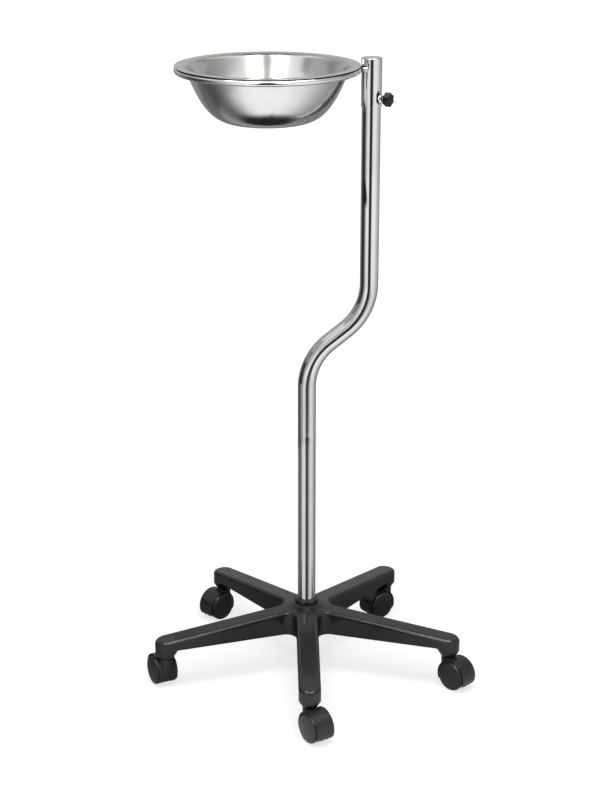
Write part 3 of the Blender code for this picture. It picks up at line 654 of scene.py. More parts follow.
def plated_lines(tree):
    """Even fine grain of zinc plating."""
    return noise_node(tree, object_vector(tree), PLATING_SCALE, detail=2.0)


def rim_underside(tree):
    """1 on the rim's underside, which no one polishes and where shade is painted in, and 0 elsewhere."""
    down = range_node(tree, split_vector(tree, face_normal(tree))["Z"], *UNDERSIDE_FACING, 1.0, 0.0)
    height = split_vector(tree, object_vector(tree))["Z"]
    high = range_node(tree, height, RIM_UNDERSIDE - DULL_SHADE_DEPTH, RIM_UNDERSIDE - DULL_SHADE_DEPTH / 2)
    return math_node(tree, "MULTIPLY", down, high)


COLUMN_STEEL = metal_finish(
    "column_steel", clean=(0.75, 0.745, 0.74), worn=(0.70, 0.695, 0.685), gloss=(0.045, 0.085, 0.04),
    lines=drawn_lines, line_depth=0.02)
RING_STEEL = metal_finish(
    "ring_steel", clean=(0.84, 0.835, 0.83), worn=(0.77, 0.765, 0.755), gloss=(0.06, 0.11, 0.05),
    lines=plated_lines, line_depth=0.02)
# Basin steel with shade painted on the rim's underside
BASIN_STEEL = metal_finish(
    "basin_steel", clean=(0.80, 0.795, 0.785), worn=(0.73, 0.725, 0.71), gloss=(0.13, 0.17, 0.04),
    lines=spun_lines, line_depth=0.03, dull_and_shade=rim_underside)
ZINC_STEEL = metal_finish(
    "zinc_steel", clean=(0.60, 0.60, 0.60), worn=(0.47, 0.47, 0.48), gloss=(0.26, 0.40, 0.08),
    lines=plated_lines, line_depth=0.08)
BASE_NYLON = plastic_finish(
    "base_nylon_finish", dark=(0.0125, 0.0127, 0.0132), light=(0.0165, 0.0167, 0.0172), gloss=(0.16, 0.20),
    grain_scale=2400.0, grain_depth=0.05, dust_amount=0.03, specular=0.5)
CASTER_NYLON = plastic_finish(
    "caster_nylon_finish", dark=(0.0150, 0.0152, 0.0157), light=(0.0195, 0.0197, 0.0203), gloss=(0.17, 0.22),
    grain_scale=3000.0, grain_depth=0.05, dust_amount=0.0, specular=0.5)
KNOB_PLASTIC = plastic_finish(
    "knob_plastic_finish", dark=(0.007, 0.007, 0.0073), light=(0.010, 0.010, 0.0104), gloss=(0.30, 0.36),
    grain_scale=3600.0, grain_depth=0.08, dust_amount=0.02, specular=0.35)


# Five-arm base

def arm_turn(index):
    return Matrix.Rotation(STAR_TURN + index * ARM_STEP, 4, "Z")


def tip_place(index):
    return arm_turn(index) @ Matrix.Translation((STAR_RADIUS, 0, 0))


def draw_to(shape, vert, target):
    """Carries an outline on in a straight line."""
    new = bmesh.ops.extrude_vert_indiv(shape, verts=[vert])["verts"][0]
    new.co = target
    return new


def draw_arc(shape, vert, centre, angle, steps):
    """Carries an outline on round a centre."""
    drawn = bmesh.ops.spin(shape, geom=[vert], cent=centre, axis=UP, angle=angle, steps=steps)
    return verts_in(drawn["geom_last"])[0]


def star_shape():
    """Five sloping arms with rounded ends, filleted between and rounded along the upper edges."""
    shape = bmesh.new()
    half_step = ARM_STEP / 2
    reach = (ARM_HALF + WEB_FILLET) / math.sin(half_step)
    out = reach * math.cos(half_step)
    side = reach * math.sin(half_step)
    inner = reach - WEB_FILLET
    swing = math.pi / 2 - half_step
    start = shape.verts.new((inner * math.cos(half_step), -inner * math.sin(half_step), BOSS_BOTTOM))
    vert = draw_arc(shape, start, (out, -side, BOSS_BOTTOM), -swing, FILLET_STEPS)
    vert = draw_to(shape, vert, (STAR_RADIUS, -ARM_HALF, BOSS_BOTTOM))
    vert = draw_arc(shape, vert, (STAR_RADIUS, 0, BOSS_BOTTOM), math.pi, TIP_STEPS)
    vert = draw_to(shape, vert, (out, ARM_HALF, BOSS_BOTTOM))
    vert = draw_arc(shape, vert, (out, side, BOSS_BOTTOM), -swing, FILLET_STEPS)
    vert = draw_to(shape, vert, (0, 0, BOSS_BOTTOM))
    shape.edges.new((vert, start))
    bmesh.ops.edgeloop_fill(shape, edges=shape.edges)
    move(shape, arm_turn(0))
    bmesh.ops.spin(shape, geom=shape.faces[:], cent=(0, 0, 0), axis=UP, angle=FULL_TURN - ARM_STEP,
                   steps=ARM_COUNT - 1, use_duplicate=True)
    tidy(shape)
    raised = bmesh.ops.extrude_face_region(shape, geom=shape.faces[:])
    top = set(verts_in(raised["geom"]))
    directions = [arm_turn(index) @ Vector((1, 0, 0)) for index in range(ARM_COUNT)]
    for vert in top:
        along = max(direction.x * vert.co.x + direction.y * vert.co.y for direction in directions)
        vert.co.z = ARM_TOP_CENTRE - ARM_SLOPE * along
    bmesh.ops.recalc_face_normals(shape, faces=shape.faces)
    rim = [edge for edge in shape.edges if edge.verts[0] in top and edge.verts[1] in top
           and edge.calc_face_angle(0.0) > RIM_ANGLE]
    round_off(shape, rim, ARM_EDGE, EDGE_STEPS)
    return shape


def flare_shape():
    """Hub's top with a hollow curve that runs out on the arms."""
    foot = ARM_TOP_CENTRE - ARM_SLOPE * FLARE_RADIUS
    rise = HUB_TOP - ARM_TOP_CENTRE + ARM_SLOPE * HUB_TOP_RADIUS
    curve = []
    for step in range(FLARE_STEPS + 1):
        share = step / FLARE_STEPS
        radius = HUB_TOP_RADIUS + (FLARE_RADIUS - HUB_TOP_RADIUS) * share
        curve.append((radius, ARM_TOP_CENTRE - ARM_SLOPE * radius + rise * (1 - share) ** FLARE_CURVE, 0))
    buried = (ARM_BOTTOM + foot) / 2
    return turned([(0, HUB_TOP, 0)] + curve + [(FLARE_RADIUS, buried, 0), (0, buried, 0)], closed=False)


def boss_radius(height):
    return BOSS_FOOT_RADIUS + BOSS_SPREAD * (height - BOSS_BOTTOM)


def underside_shape():
    """Everything below the arms apart from the bosses round the caster stems."""
    low = BOSS_BOTTOM - OVERRUN
    high = ARM_BOTTOM + OVERRUN
    half_facet = Matrix.Rotation(math.pi / TURNED_FACETS, 4, "Z")
    bosses = [rod_shape(boss_radius(low), low, high, TURNED_FACETS, tip_place(index) @ half_facet,
                        boss_radius(high)) for index in range(ARM_COUNT)]
    below = rod_shape(STAR_RADIUS + 3 * ARM_HALF, low + OVERRUN / 2, ARM_BOTTOM, TURNED_FACETS)
    return combined(below, [(merge_shapes(bosses), "DIFFERENCE")])


def bore_shape():
    """Column's socket, bolt hole and bolt recess, from above to below."""
    top = HUB_TOP + OVERRUN
    low = ARM_BOTTOM - OVERRUN
    return turned([(0, top, 0), (COLUMN_SOCKET, top, 0), (COLUMN_SOCKET, HUB_FLOOR_TOP, 0),
                   (BOLT_HOLE, HUB_FLOOR_TOP, 0), (BOLT_HOLE, HUB_FLOOR_BOTTOM, 0),
                   (RECESS_RADIUS, HUB_FLOOR_BOTTOM, 0), (RECESS_RADIUS, low, 0), (0, low, 0)], closed=False)


def rise_share(edge):
    return abs((edge.verts[0].co - edge.verts[1].co).normalized().z)


def pocket_shapes():
    """Hollows under the arms with rounded corners, parted by ribs."""
    shapes = []
    length = (POCKET_END - POCKET_START - (POCKETS_PER_ARM - 1) * RIB_WIDTH) / POCKETS_PER_ARM
    low = ARM_BOTTOM - OVERRUN
    roof = ARM_TOP_CENTRE - POCKET_ROOF
    size = Matrix.Diagonal((length, 2 * POCKET_HALF, roof - low, 1))
    for index in range(ARM_COUNT):
        for pocket in range(POCKETS_PER_ARM):
            start = POCKET_START + pocket * (length + RIB_WIDTH)
            shape = bmesh.new()
            place = Matrix.Translation((start + length / 2, 0, (roof + low) / 2))
            bmesh.ops.create_cube(shape, size=1, matrix=place @ size)
            for vert in shape.verts:
                if vert.co.z > ARM_BOTTOM:
                    vert.co.z = roof - ARM_SLOPE * vert.co.x
            upright = [edge for edge in shape.edges if rise_share(edge) > UPRIGHT_SHARE]
            round_off(shape, upright, POCKET_CORNER)
            shapes.append(move(shape, arm_turn(index)))
    return merge_shapes(shapes)


def make_base():
    sockets = merge_shapes([rod_shape(SOCKET_RADIUS, BOSS_BOTTOM - OVERRUN, SOCKET_TOP, PIN_FACETS,
                                      tip_place(index)) for index in range(ARM_COUNT)])
    base = combined(star_shape(), [(flare_shape(), "UNION"), (underside_shape(), "DIFFERENCE"),
                                   (bore_shape(), "DIFFERENCE"), (sockets, "DIFFERENCE"),
                                   (pocket_shapes(), "DIFFERENCE")])
    finish_piece("five_arm_base", move(base, HUB_PLACE), BASE_NYLON, "stand", ("base_spider",),
                 flat_faces=True)


# Column and collar

def make_column():
    """Tube drawn up from the hub: plumb, bent out, straight, bent back, plumb."""
    half_rise = BEND_RADIUS * math.sin(BEND_ANGLE) + BEND_STRAIGHT * math.cos(BEND_ANGLE) / 2
    offset = 2 * BEND_RADIUS * (1 - math.cos(BEND_ANGLE)) + BEND_STRAIGHT * math.sin(BEND_ANGLE)
    low_bend = BEND_MIDDLE - half_rise
    high_bend = BEND_MIDDLE + half_rise
    slant = Vector((math.sin(BEND_ANGLE), 0, math.cos(BEND_ANGLE))) * BEND_STRAIGHT
    shape = bmesh.new()
    bmesh.ops.create_circle(shape, segments=TUBE_FACETS, radius=COLUMN_RADIUS,
                            matrix=Matrix.Translation((0, 0, COLUMN_BOTTOM)))

    def raise_by(edges, step):
        made = bmesh.ops.extrude_edge_only(shape, edges=edges)["geom"]
        bmesh.ops.translate(shape, verts=verts_in(made), vec=step)
        return edges_in(made)

    def bend_by(edges, centre, angle):
        ring = list({vert for edge in edges for vert in edge.verts})
        made = bmesh.ops.spin(shape, geom=ring + edges, cent=centre, axis=(0, 1, 0), angle=angle,
                              steps=BEND_STEPS)
        return edges_in(made["geom_last"])

    def straight(edges, run):
        """Straight length with a short row at either end, so that its shading stays even."""
        short = run.normalized() * SHORT_ROW
        for step in (short, run - 2 * short, short):
            edges = raise_by(edges, step)
        return edges

    end = straight(shape.edges[:], UP * (low_bend - COLUMN_BOTTOM))
    end = bend_by(end, (BEND_RADIUS, 0, low_bend), BEND_ANGLE)
    end = straight(end, slant)
    end = bend_by(end, (offset - BEND_RADIUS, 0, high_bend), -BEND_ANGLE)
    straight(end, UP * (COLUMN_TOP - high_bend))
    tidy(shape)
    column = finish_piece("column", move(shape, HUB_PLACE), COLUMN_STEEL, "stand",
                          ("column_tube",))
    give_wall(column, COLUMN_WALL)


def make_collar():
    points = [(COLLAR_RADIUS - COLLAR_SLOPE, COLLAR_TOP, COLLAR_TOP_ROUND),
              (COLLAR_RADIUS, COLLAR_TOP - COLLAR_SLOPE, COLLAR_SIDE_ROUND),
              (COLLAR_RADIUS, COLLAR_BOTTOM + COLLAR_LIP, COLLAR_LIP_ROUND),
              (COLLAR_RADIUS - COLLAR_LIP / 2, COLLAR_BOTTOM, COLLAR_FOOT_ROUND),
              (COLUMN_SOCKET, COLLAR_BOTTOM, 0),
              (COLUMN_SOCKET, COLLAR_TOP - COLLAR_BORE_DROP, COLLAR_BORE_ROUND)]
    finish_piece("column_collar", turned(points, place=HUB_PLACE), BASE_NYLON, "stand",
                 ("hub_collar",))


# Casters

def hood_shape():
    """Drum over both wheels with a solid web between them, open below."""
    points = [(AXLE_RADIUS, -WEB_HALF, 0), (HOOD_INNER, -WEB_HALF, HOOD_WEB_ROUND),
              (HOOD_INNER, -HOOD_HALF, HOOD_INNER_ROUND), (HOOD_RADIUS, -HOOD_HALF, HOOD_ROUND),
              (HOOD_RADIUS, HOOD_HALF, HOOD_ROUND), (HOOD_INNER, HOOD_HALF, HOOD_INNER_ROUND),
              (HOOD_INNER, WEB_HALF, HOOD_WEB_ROUND), (AXLE_RADIUS, WEB_HALF, 0)]
    place = Matrix.Translation((CASTER_TRAIL, 0, AXLE_HEIGHT)) @ ALONG_Y
    shape = turned(points, HOOD_FACETS, place=place)
    cut_off(shape, (0, 0, HOOD_LIFT), (0, 0, -1))
    for side in (1, -1):
        corner = (0, side * HOOD_HALF, HOOD_LIFT + HOOD_CORNER)
        cut_off(shape, corner, Vector((0, side, -1)).normalized())
    notches = []
    for across in NOTCH_PLACES:
        notch = bmesh.new()
        place = Matrix.Translation((CASTER_TRAIL + HOOD_RADIUS - NOTCH_SIZE[0] / 2, across, HOOD_LIFT))
        bmesh.ops.create_cube(notch, size=1, matrix=place @ Matrix.Diagonal((*NOTCH_SIZE, 1)))
        notches.append(notch)
    return combined(shape, [(merge_shapes(notches), "DIFFERENCE")])


def barrel_shape():
    points = [(STEM_RADIUS, BARREL_TOP, BARREL_BORE_ROUND), (BARREL_RADIUS, BARREL_TOP, BARREL_BROW),
              (BARREL_RADIUS, BARREL_BOTTOM, BARREL_ROUND), (0, BARREL_BOTTOM, 0), (0, STEM_BOTTOM, 0),
              (STEM_RADIUS, STEM_BOTTOM, 0)]
    return turned(points)


def wheel_shape():
    """Wheel with a domed face that runs round into the tread, and a hollowed back."""
    points = []
    for step in range(DOME_STEPS):
        radius = FACE_RADIUS * step / DOME_STEPS
        points.append((radius, WHEEL_WIDTH - WHEEL_CROWN * (radius / WHEEL_RADIUS) ** 2, 0))
    bore_end = WHEEL_WIDTH - WHEEL_FACE_WALL
    points += [(WHEEL_RADIUS, WHEEL_WIDTH - WHEEL_CROWN, WHEEL_SHOULDER), (WHEEL_RADIUS, 0, WHEEL_BACK_ROUND),
               (WHEEL_RADIUS - WHEEL_BACK_RIM, 0, WHEEL_BACK_EDGE),
               (WHEEL_RADIUS - WHEEL_BACK_FOOT, WHEEL_BACK_RECESS, WHEEL_BACK_EDGE),
               (WHEEL_HUB_FOOT, WHEEL_BACK_RECESS, WHEEL_BACK_EDGE), (WHEEL_HUB_RADIUS, 0, WHEEL_HUB_EDGE),
               (AXLE_RADIUS, 0, 0), (AXLE_RADIUS, bore_end, 0), (0, bore_end, 0)]
    return turned(points, WHEEL_FACETS, closed=False)


def stem_shape():
    points = [(0, STEM_TOP, 0), (STEM_RADIUS, STEM_TOP, STEM_TOP_ROUND),
              (STEM_RADIUS, SHOULDER_TOP, SHOULDER_ROUND), (SHOULDER_RADIUS, SHOULDER_TOP, SHOULDER_ROUND),
              (SHOULDER_RADIUS, SHOULDER_BOTTOM, SHOULDER_ROUND), (STEM_RADIUS, SHOULDER_BOTTOM, 0),
              (STEM_RADIUS, STEM_BOTTOM, STEM_FOOT_ROUND), (0, STEM_BOTTOM, 0)]
    return turned(points, PIN_FACETS, closed=False)


def make_casters():
    body = combined(hood_shape(), [(barrel_shape(), "UNION")])
    wheel = wheel_shape()
    stem = stem_shape()
    for index in range(ARM_COUNT):
        name = f"caster_{index + 1}"
        swivel = Vector(joint_of(name + "_swivel")["pos_m"])
        axle = Vector(joint_of(name + "_left_roll")["pos_m"])
        heading = math.atan2(axle.y - swivel.y, axle.x - swivel.x)
        upright = Matrix.Translation((swivel.x, swivel.y, 0))
        place = upright @ Matrix.Rotation(heading, 4, "Z")
        finish_piece(name + "_hood", moved_copy(body, place), CASTER_NYLON, name,
                     (name + "_body",), flat_faces=True)
        finish_piece(name + "_pin", moved_copy(stem, upright), ZINC_STEEL, "stand",
                     (name + "_stem",))
        axle_place = place @ Matrix.Translation((CASTER_TRAIL, 0, AXLE_HEIGHT))
        for side, turn in (("left", ALONG_Y), ("right", ALONG_Y.inverted())):
            wheel_place = axle_place @ turn @ Matrix.Translation((0, 0, WHEEL_INSIDE))
            finish_piece(f"{name}_disc_{side}", moved_copy(wheel, wheel_place), CASTER_NYLON,
                         f"{name}_wheel_{side}", (f"{name}_wheel_{side}",))
    for shape in (body, wheel, stem):
        shape.free()


# Sleeve, ring, clamp and basin

def make_sleeve():
    """Sleeve closed at the top with a rounded edge."""
    roof = COLUMN_TOP + FIT_GAP
    points = [(0, HEAD_TOP, 0), (SLEEVE_RADIUS, HEAD_TOP, CAP_ROUND),
              (SLEEVE_RADIUS, SLEEVE_BOTTOM, SLEEVE_EDGE), (COLUMN_SOCKET, SLEEVE_BOTTOM, SLEEVE_EDGE),
              (COLUMN_SOCKET, roof, 0), (0, roof, 0)]
    finish_piece("head_sleeve", turned(points, closed=False, place=HEAD_PLACE), COLUMN_STEEL, "ring_holder",
                 ("ring_sleeve", "sleeve_cap"), flat_faces=True)


def coped(shape):
    """A shape cut back to the sleeve's side."""
    sleeve = rod_shape(SLEEVE_RADIUS, SLEEVE_BOTTOM, HEAD_TOP, TURNED_FACETS, HEAD_PLACE)
    return combined(shape, [(sleeve, "DIFFERENCE")])


def make_ring():
    """Round rod bent into a ring and coped to the sleeve."""
    shape = bmesh.new()
    upright = Matrix.Translation((RING_RADIUS, 0, RING_HEIGHT)) @ Matrix.Rotation(math.pi / 2, 4, "X")
    bmesh.ops.create_circle(shape, segments=ROD_FACETS, radius=ROD_RADIUS, matrix=upright)
    spin_round(shape, RING_FACETS)
    tidy(move(shape, BOWL_PLACE))
    finish_piece("basin_rod_ring", coped(shape), RING_STEEL, "ring_holder", ("basin_ring",))


def weld_bead(height):
    """Short rippled bead laid round the sleeve, thinner towards its ends."""
    shape = bmesh.new()
    place = Matrix.Translation((-WELD_REACH, 0, height)) @ Matrix.Rotation(math.pi / 2, 4, "X")
    bmesh.ops.create_circle(shape, cap_ends=True, segments=PIN_FACETS // 2, radius=WELD_RADIUS, matrix=place)
    bmesh.ops.spin(shape, geom=shape.faces[:], cent=(0, 0, 0), axis=UP, angle=2 * WELD_HALF_ANGLE,
                   steps=WELD_STEPS)
    for vert in shape.verts:
        angle = math.atan2(vert.co.y, -vert.co.x)
        share = min(abs(angle), 2 * WELD_HALF_ANGLE)
        along = abs(share / WELD_HALF_ANGLE - 1)
        ripple = 1 + WELD_RIPPLE * math.cos(along * WELD_STEPS * math.pi / 2)
        size = max(WELD_END, math.sqrt(max(0.0, 1 - along ** 2))) * ripple
        middle = Vector((vert.co.x, vert.co.y, 0)).normalized() * WELD_REACH + UP * height
        vert.co = middle + (vert.co - middle) * size
    return tidy(move(shape, HEAD_PLACE @ Matrix.Rotation(-WELD_HALF_ANGLE, 4, "Z")))


def make_weld():
    beads = merge_shapes([weld_bead(RING_HEIGHT + rise) for rise in (WELD_RISE, -WELD_RISE)])
    finish_piece("ring_weld", beads, RING_STEEL, "ring_holder")


def make_basin():
    """Spun bowl with a flat foot, a soft mouth and a flat rim whose outer edge turns down a little."""
    rim_top = RIM_UNDERSIDE + BASIN_WALL
    points = [(radius, rim_top + rise, 0) for radius, rise in RIM_SHAPE]
    for step in range(BOWL_STEPS, -1, -1):
        share = step / BOWL_STEPS
        radius = FOOT_RADIUS + (MOUTH_RADIUS - FOOT_RADIUS) * share - BASIN_WALL * share
        height = rim_top - BOWL_HEIGHT * (1 - share ** BOWL_CURVE)
        points.append((radius, height, MOUTH_ROUND if step == BOWL_STEPS else 0))
    points.append((0, rim_top - BOWL_HEIGHT, 0))
    shape = turned(points, BASIN_FACETS, closed=False, place=BOWL_PLACE)
    axis = BOWL_PLACE.translation
    middle_face = min(shape.faces, key=lambda face: (face.calc_center_median() - axis).xy.length)
    if middle_face.normal.z < 0:
        bmesh.ops.reverse_faces(shape, faces=shape.faces)
    basin = finish_piece("basin_bowl", shape, BASIN_STEEL, "basin", ("basin",))
    give_wall(basin, BASIN_WALL, even=True)
    return basin


def make_nut():
    """Hexagon boss with a turned chamfer, coped to the sleeve."""
    corner = NUT_FLATS / 2 / math.cos(math.pi / HEX_SIDES)
    inside = SLEEVE_RADIUS - NUT_HEIGHT
    nut = rod_shape(corner, inside, NUT_OUTER, HEX_SIDES)
    chamfer = turned([(0, inside - OVERRUN, 0), (2 * corner, inside - OVERRUN, 0),
                      (2 * corner, NUT_OUTER - corner, 0), (NUT_FLATS / 2 - NUT_CHAMFER / 2, NUT_OUTER, 0),
                      (0, NUT_OUTER, 0)], closed=False)
    hole = rod_shape(STUD_RADIUS + FIT_GAP, 0, NUT_OUTER + OVERRUN)
    nut = combined(nut, [(chamfer, "INTERSECT"), (hole, "DIFFERENCE")])
    finish_piece("clamp_boss", coped(move(nut, CLAMP_PLACE)), RING_STEEL, "ring_holder",
                 ("clamp_nut",), flat_faces=True)


def make_stud():
    """Threaded stud with rounded ridges."""
    root = STUD_RADIUS - THREAD_DEPTH
    points = [(0, STUD_START, 0), (root, STUD_START, 0)]
    for ridge in range(int((STUD_END - STUD_START) / THREAD_PITCH)):
        base = STUD_START + ridge * THREAD_PITCH
        points.append((STUD_RADIUS, base + THREAD_PITCH / 2, THREAD_CREST_ROUND))
        points.append((root, base + THREAD_PITCH, THREAD_ROOT_ROUND))
    points.append((0, points[-1][1], 0))
    shape = turned(points, PIN_FACETS, closed=False, place=CLAMP_PLACE)
    finish_piece("clamp_thread", shape, ZINC_STEEL, "clamp_screw", ("clamp_stud",))


def make_knob():
    """Six-lobed knob with soft edges and a face hollowed round its middle."""
    shape = bmesh.new()
    bmesh.ops.create_circle(shape, cap_ends=True, segments=KNOB_LOBES * LOBE_POINTS, radius=KNOB_RADIUS)
    for vert in shape.verts:
        angle = math.atan2(vert.co.y, vert.co.x)
        vert.co *= 1 + KNOB_LOBE_HEIGHT / KNOB_RADIUS * math.cos(KNOB_LOBES * angle)
    raised = bmesh.ops.extrude_face_region(shape, geom=shape.faces[:])
    bmesh.ops.translate(shape, verts=verts_in(raised["geom"]), vec=(0, 0, KNOB_LENGTH))
    bmesh.ops.recalc_face_normals(shape, faces=shape.faces)
    ends = [edge for edge in shape.edges if abs(edge.verts[0].co.z - edge.verts[1].co.z) < MERGE]
    round_off(shape, ends, KNOB_EDGE)
    face = max(shape.faces, key=lambda item: item.calc_center_median().z)
    for radius, depth in KNOB_FACE_RINGS:
        bmesh.ops.inset_region(shape, faces=[face], thickness=KNOB_FACE_INSET)
        for vert in face.verts:
            flat = Vector((vert.co.x, vert.co.y, 0)).normalized() * radius
            vert.co = flat + UP * (KNOB_LENGTH - depth)
    hole = rod_shape(KNOB_HOLE, -OVERRUN, KNOB_HOLE_DEPTH)
    knob = combined(shape, [(hole, "DIFFERENCE")])
    move(knob, CLAMP_PLACE @ Matrix.Translation((0, 0, KNOB_START)))
    finish_piece("clamp_hand_knob", knob, KNOB_PLASTIC, "clamp_screw", ("clamp_knob",),
                 flat_faces=True)


def dress_kept_nodes():
    """Plated steel on the hidden fixings that stay as the CAD has them."""
    kept = ["column_foot_plug", "base_bolt", "base_washer", "clamp_pad"]
    for index in range(ARM_COUNT):
        kept += [f"caster_{index + 1}_grip_ring", f"caster_{index + 1}_axle"]
    for node in kept:
        mesh = frame["nodes"][node].data
        mesh.materials.clear()
        mesh.materials.append(ZINC_STEEL)


# Floor and background
FLOOR_SIZE = 60.0
FLOOR_TONE = 0.30
FLOOR_NEAR_GLOW = 0.74
FLOOR_FAR_GLOW = 1.0
SHADOW_INNER = 0.45
SHADOW_OUTER = 1.6
AMBIENT = 0.15
FACE_UP = Matrix.Identity(4)
FACE_DOWN = Matrix.Rotation(math.pi, 4, "X")
FACE_LEFT = Matrix.Rotation(-math.pi / 2, 4, "Y")


def flat_card(place, size, facing=FACE_UP):
    shape = bmesh.new()
    matrix = Matrix.Translation(place) @ facing @ Matrix.Diagonal((*size, 1, 1))
    bmesh.ops.create_grid(shape, x_segments=1, y_segments=1, size=0.5, matrix=matrix)
    return shape


def bare_material(name):
    """Material whose output has no shader yet."""
    material = bpy.data.materials.new(name)
    material.use_nodes = True
    tree = material.node_tree
    tree.nodes.remove(tree.nodes["Principled BSDF"])
    return material, tree


def seen_light(tree):
    """1 for rays that show the background itself: camera, glossy and transmission rays."""
    path = add_node(tree, "ShaderNodeLightPath").outputs
    seen = math_node(tree, "MAXIMUM", path["Is Camera Ray"], path["Is Glossy Ray"])
    return math_node(tree, "MAXIMUM", seen, path["Is Transmission Ray"])


def make_floor():
    """White floor that keeps the stand's shadow near the stand."""
    material, tree = bare_material("studio_floor")
    paint = add_node(tree, "ShaderNodeBsdfDiffuse")
    feed_inputs(tree, paint, Color=(FLOOR_TONE, FLOOR_TONE, FLOOR_TONE, 1))
    level = range_node(tree, vector_length(tree, object_vector(tree)), SHADOW_INNER, SHADOW_OUTER,
                       FLOOR_NEAR_GLOW, FLOOR_FAR_GLOW)
    glow = add_node(tree, "ShaderNodeEmission")
    feed_inputs(tree, glow, Strength=math_node(tree, "MULTIPLY", level, seen_light(tree)))
    both = add_node(tree, "ShaderNodeAddShader")
    for socket, part in zip(both.inputs, (paint, glow)):
        feed(tree, socket, part.outputs[0])
    feed_inputs(tree, tree.nodes["Material Output"], Surface=both.outputs[0])
    floor = new_object("studio_floor", flat_card((0, 0, 0), (FLOOR_SIZE, FLOOR_SIZE)))
    floor.data.materials.append(material)


def make_world():
    world = bpy.data.worlds.new("studio")
    bpy.context.scene.world = world
    world.use_nodes = True
    tree = world.node_tree
    feed_inputs(tree, tree.nodes["Background"], Color=(1, 1, 1, 1),
                Strength=range_node(tree, seen_light(tree), 0, 1, AMBIENT, 1.0))


# Light that bright metal meets round the stand: (degrees from the front, share of white)
NEAR_FLOOR_LIGHT = (
    (-180, 0.34), (-150, 0.32), (-128, 0.26), (-106, 0.14), (-90, 0.12), (-80, 0.22), (-67, 0.50),
    (-51, 0.82), (-36, 0.95), (-20, 1.0), (20, 1.0), (33, 0.95), (47, 0.86), (63, 0.76), (78, 0.62),
    (97, 0.40), (121, 0.23), (147, 0.22), (180, 0.30))
MIDDLE_FLOOR_LIGHT = (
    (-180, 0.16), (-128, 0.12), (-104, 0.05), (-95, 0.07), (-84, 0.13), (-68, 0.32), (-53, 0.51),
    (-40, 0.61), (-25, 0.66), (-17, 0.45), (-12, 0.09), (-7, 0.02), (7, 0.02), (12, 0.06), (17, 0.14),
    (25, 0.30), (33, 0.50), (40, 0.66), (53, 0.75), (68, 0.70), (84, 0.55), (104, 0.36), (128, 0.21),
    (180, 0.18))
FAR_FLOOR_LIGHT = (
    (-180, 0.25), (-140, 0.29), (-122, 0.12), (-110, 0.02), (-89, 0.0), (-76, 0.05), (-66, 0.22),
    (-56, 0.50), (-41, 0.90), (-27, 1.0), (-19, 0.85), (-12, 0.10), (-9, 0.0), (9, 0.0), (13, 0.12),
    (20, 0.60), (27, 0.94), (41, 1.0), (56, 0.97), (72, 0.80), (89, 0.60), (110, 0.46), (140, 0.27),
    (180, 0.25))
LOW_WALL_LIGHT = (
    (-180, 0.25), (-140, 0.25), (-110, 0.03), (-80, 0.03), (-60, 0.40), (-30, 0.90), (-12, 0.60),
    (-6, 0.0), (6, 0.0), (12, 0.60), (30, 1.0), (70, 0.75), (110, 0.35), (140, 0.25), (180, 0.25))
HIGH_WALL_LIGHT = (
    (-180, 0.52), (-140, 0.48), (-110, 0.25), (-80, 0.20), (-60, 0.45), (-30, 0.75), (-14, 0.30),
    (-8, 0.05), (8, 0.05), (14, 0.30), (30, 0.80), (70, 0.65), (110, 0.40), (140, 0.45), (180, 0.52))
CEILING_LIGHT = (
    (-180, 0.45), (-150, 0.45), (-136, 0.42), (-128, 0.22), (-118, 0.60), (-75, 0.90), (-35, 0.95),
    (-14, 0.70), (-6, 0.25), (6, 0.25), (14, 0.70), (35, 0.95), (75, 0.85), (118, 0.60), (128, 0.25),
    (136, 0.42), (150, 0.45), (180, 0.45))
FAR_CEILING_LIGHT = (
    (-180, 0.45), (-128, 0.40), (-106, 0.42), (-85, 0.47), (-74, 0.45), (-67, 0.30), (-60, 0.32),
    (-54, 0.75), (-48, 0.95), (-30, 0.90), (-14, 0.70), (-6, 0.25), (6, 0.25), (14, 0.70), (30, 0.90),
    (45, 0.75), (53, 0.62), (64, 0.52), (76, 0.40), (84, 0.36), (110, 0.25), (128, 0.25), (136, 0.42),
    (150, 0.45), (180, 0.45))
SCREEN_LIGHT = (
    (-180, 1.0), (-125, 1.0), (-110, 0.70), (-90, 0.75), (-77, 0.86), (-61, 0.85), (-47, 0.92),
    (-34, 0.86), (-25, 0.78), (-17, 0.45), (-12, 0.15), (-8, 0.03), (8, 0.03), (12, 0.10), (17, 0.20),
    (25, 0.38), (33, 0.62), (43, 0.82), (57, 0.95), (73, 1.0), (89, 1.0), (108, 0.80), (125, 1.0),
    (180, 1.0))
EVEN_LIGHT = ((-180, 1.0), (180, 1.0))

# Cards that carry this light
CARD_TONE = 0.02
CARD_FACETS = 64
CARD_REACH = 9.0
CARD_HEIGHT = 4.0
CARD_LIFT = 0.0005
NEAR_REACH = 1.1
MIDDLE_REACH = 2.1
CEILING_REACH = 4.7
LOW_WALL_TOP = 1.7
SCREEN_FOOT_RADIUS = 0.251
SCREEN_TOP_RADIUS = 0.175
SCREEN_BOTTOM = 0.02
SCREEN_TOP = 0.362
HUB_CENTRE = (HUB.x, HUB.y, 0)
FLAT = (1, 1, 0)

# How a card fades outwards: (centre, stretch of the distance, inner, outer, light at the inner edge)
NO_FADE = (HUB_CENTRE, FLAT, 0.0, 0.001, 1.0)
# Painted shadow of the base: the near floor card, seen only in reflections, is darker under the stand
UNDER_BASE_FADE = (HUB_CENTRE, FLAT, 0.18, 0.34, 0.40)
FAR_FLOOR_FADE = (HUB_CENTRE, FLAT, 2.1, 3.2, 0.74)
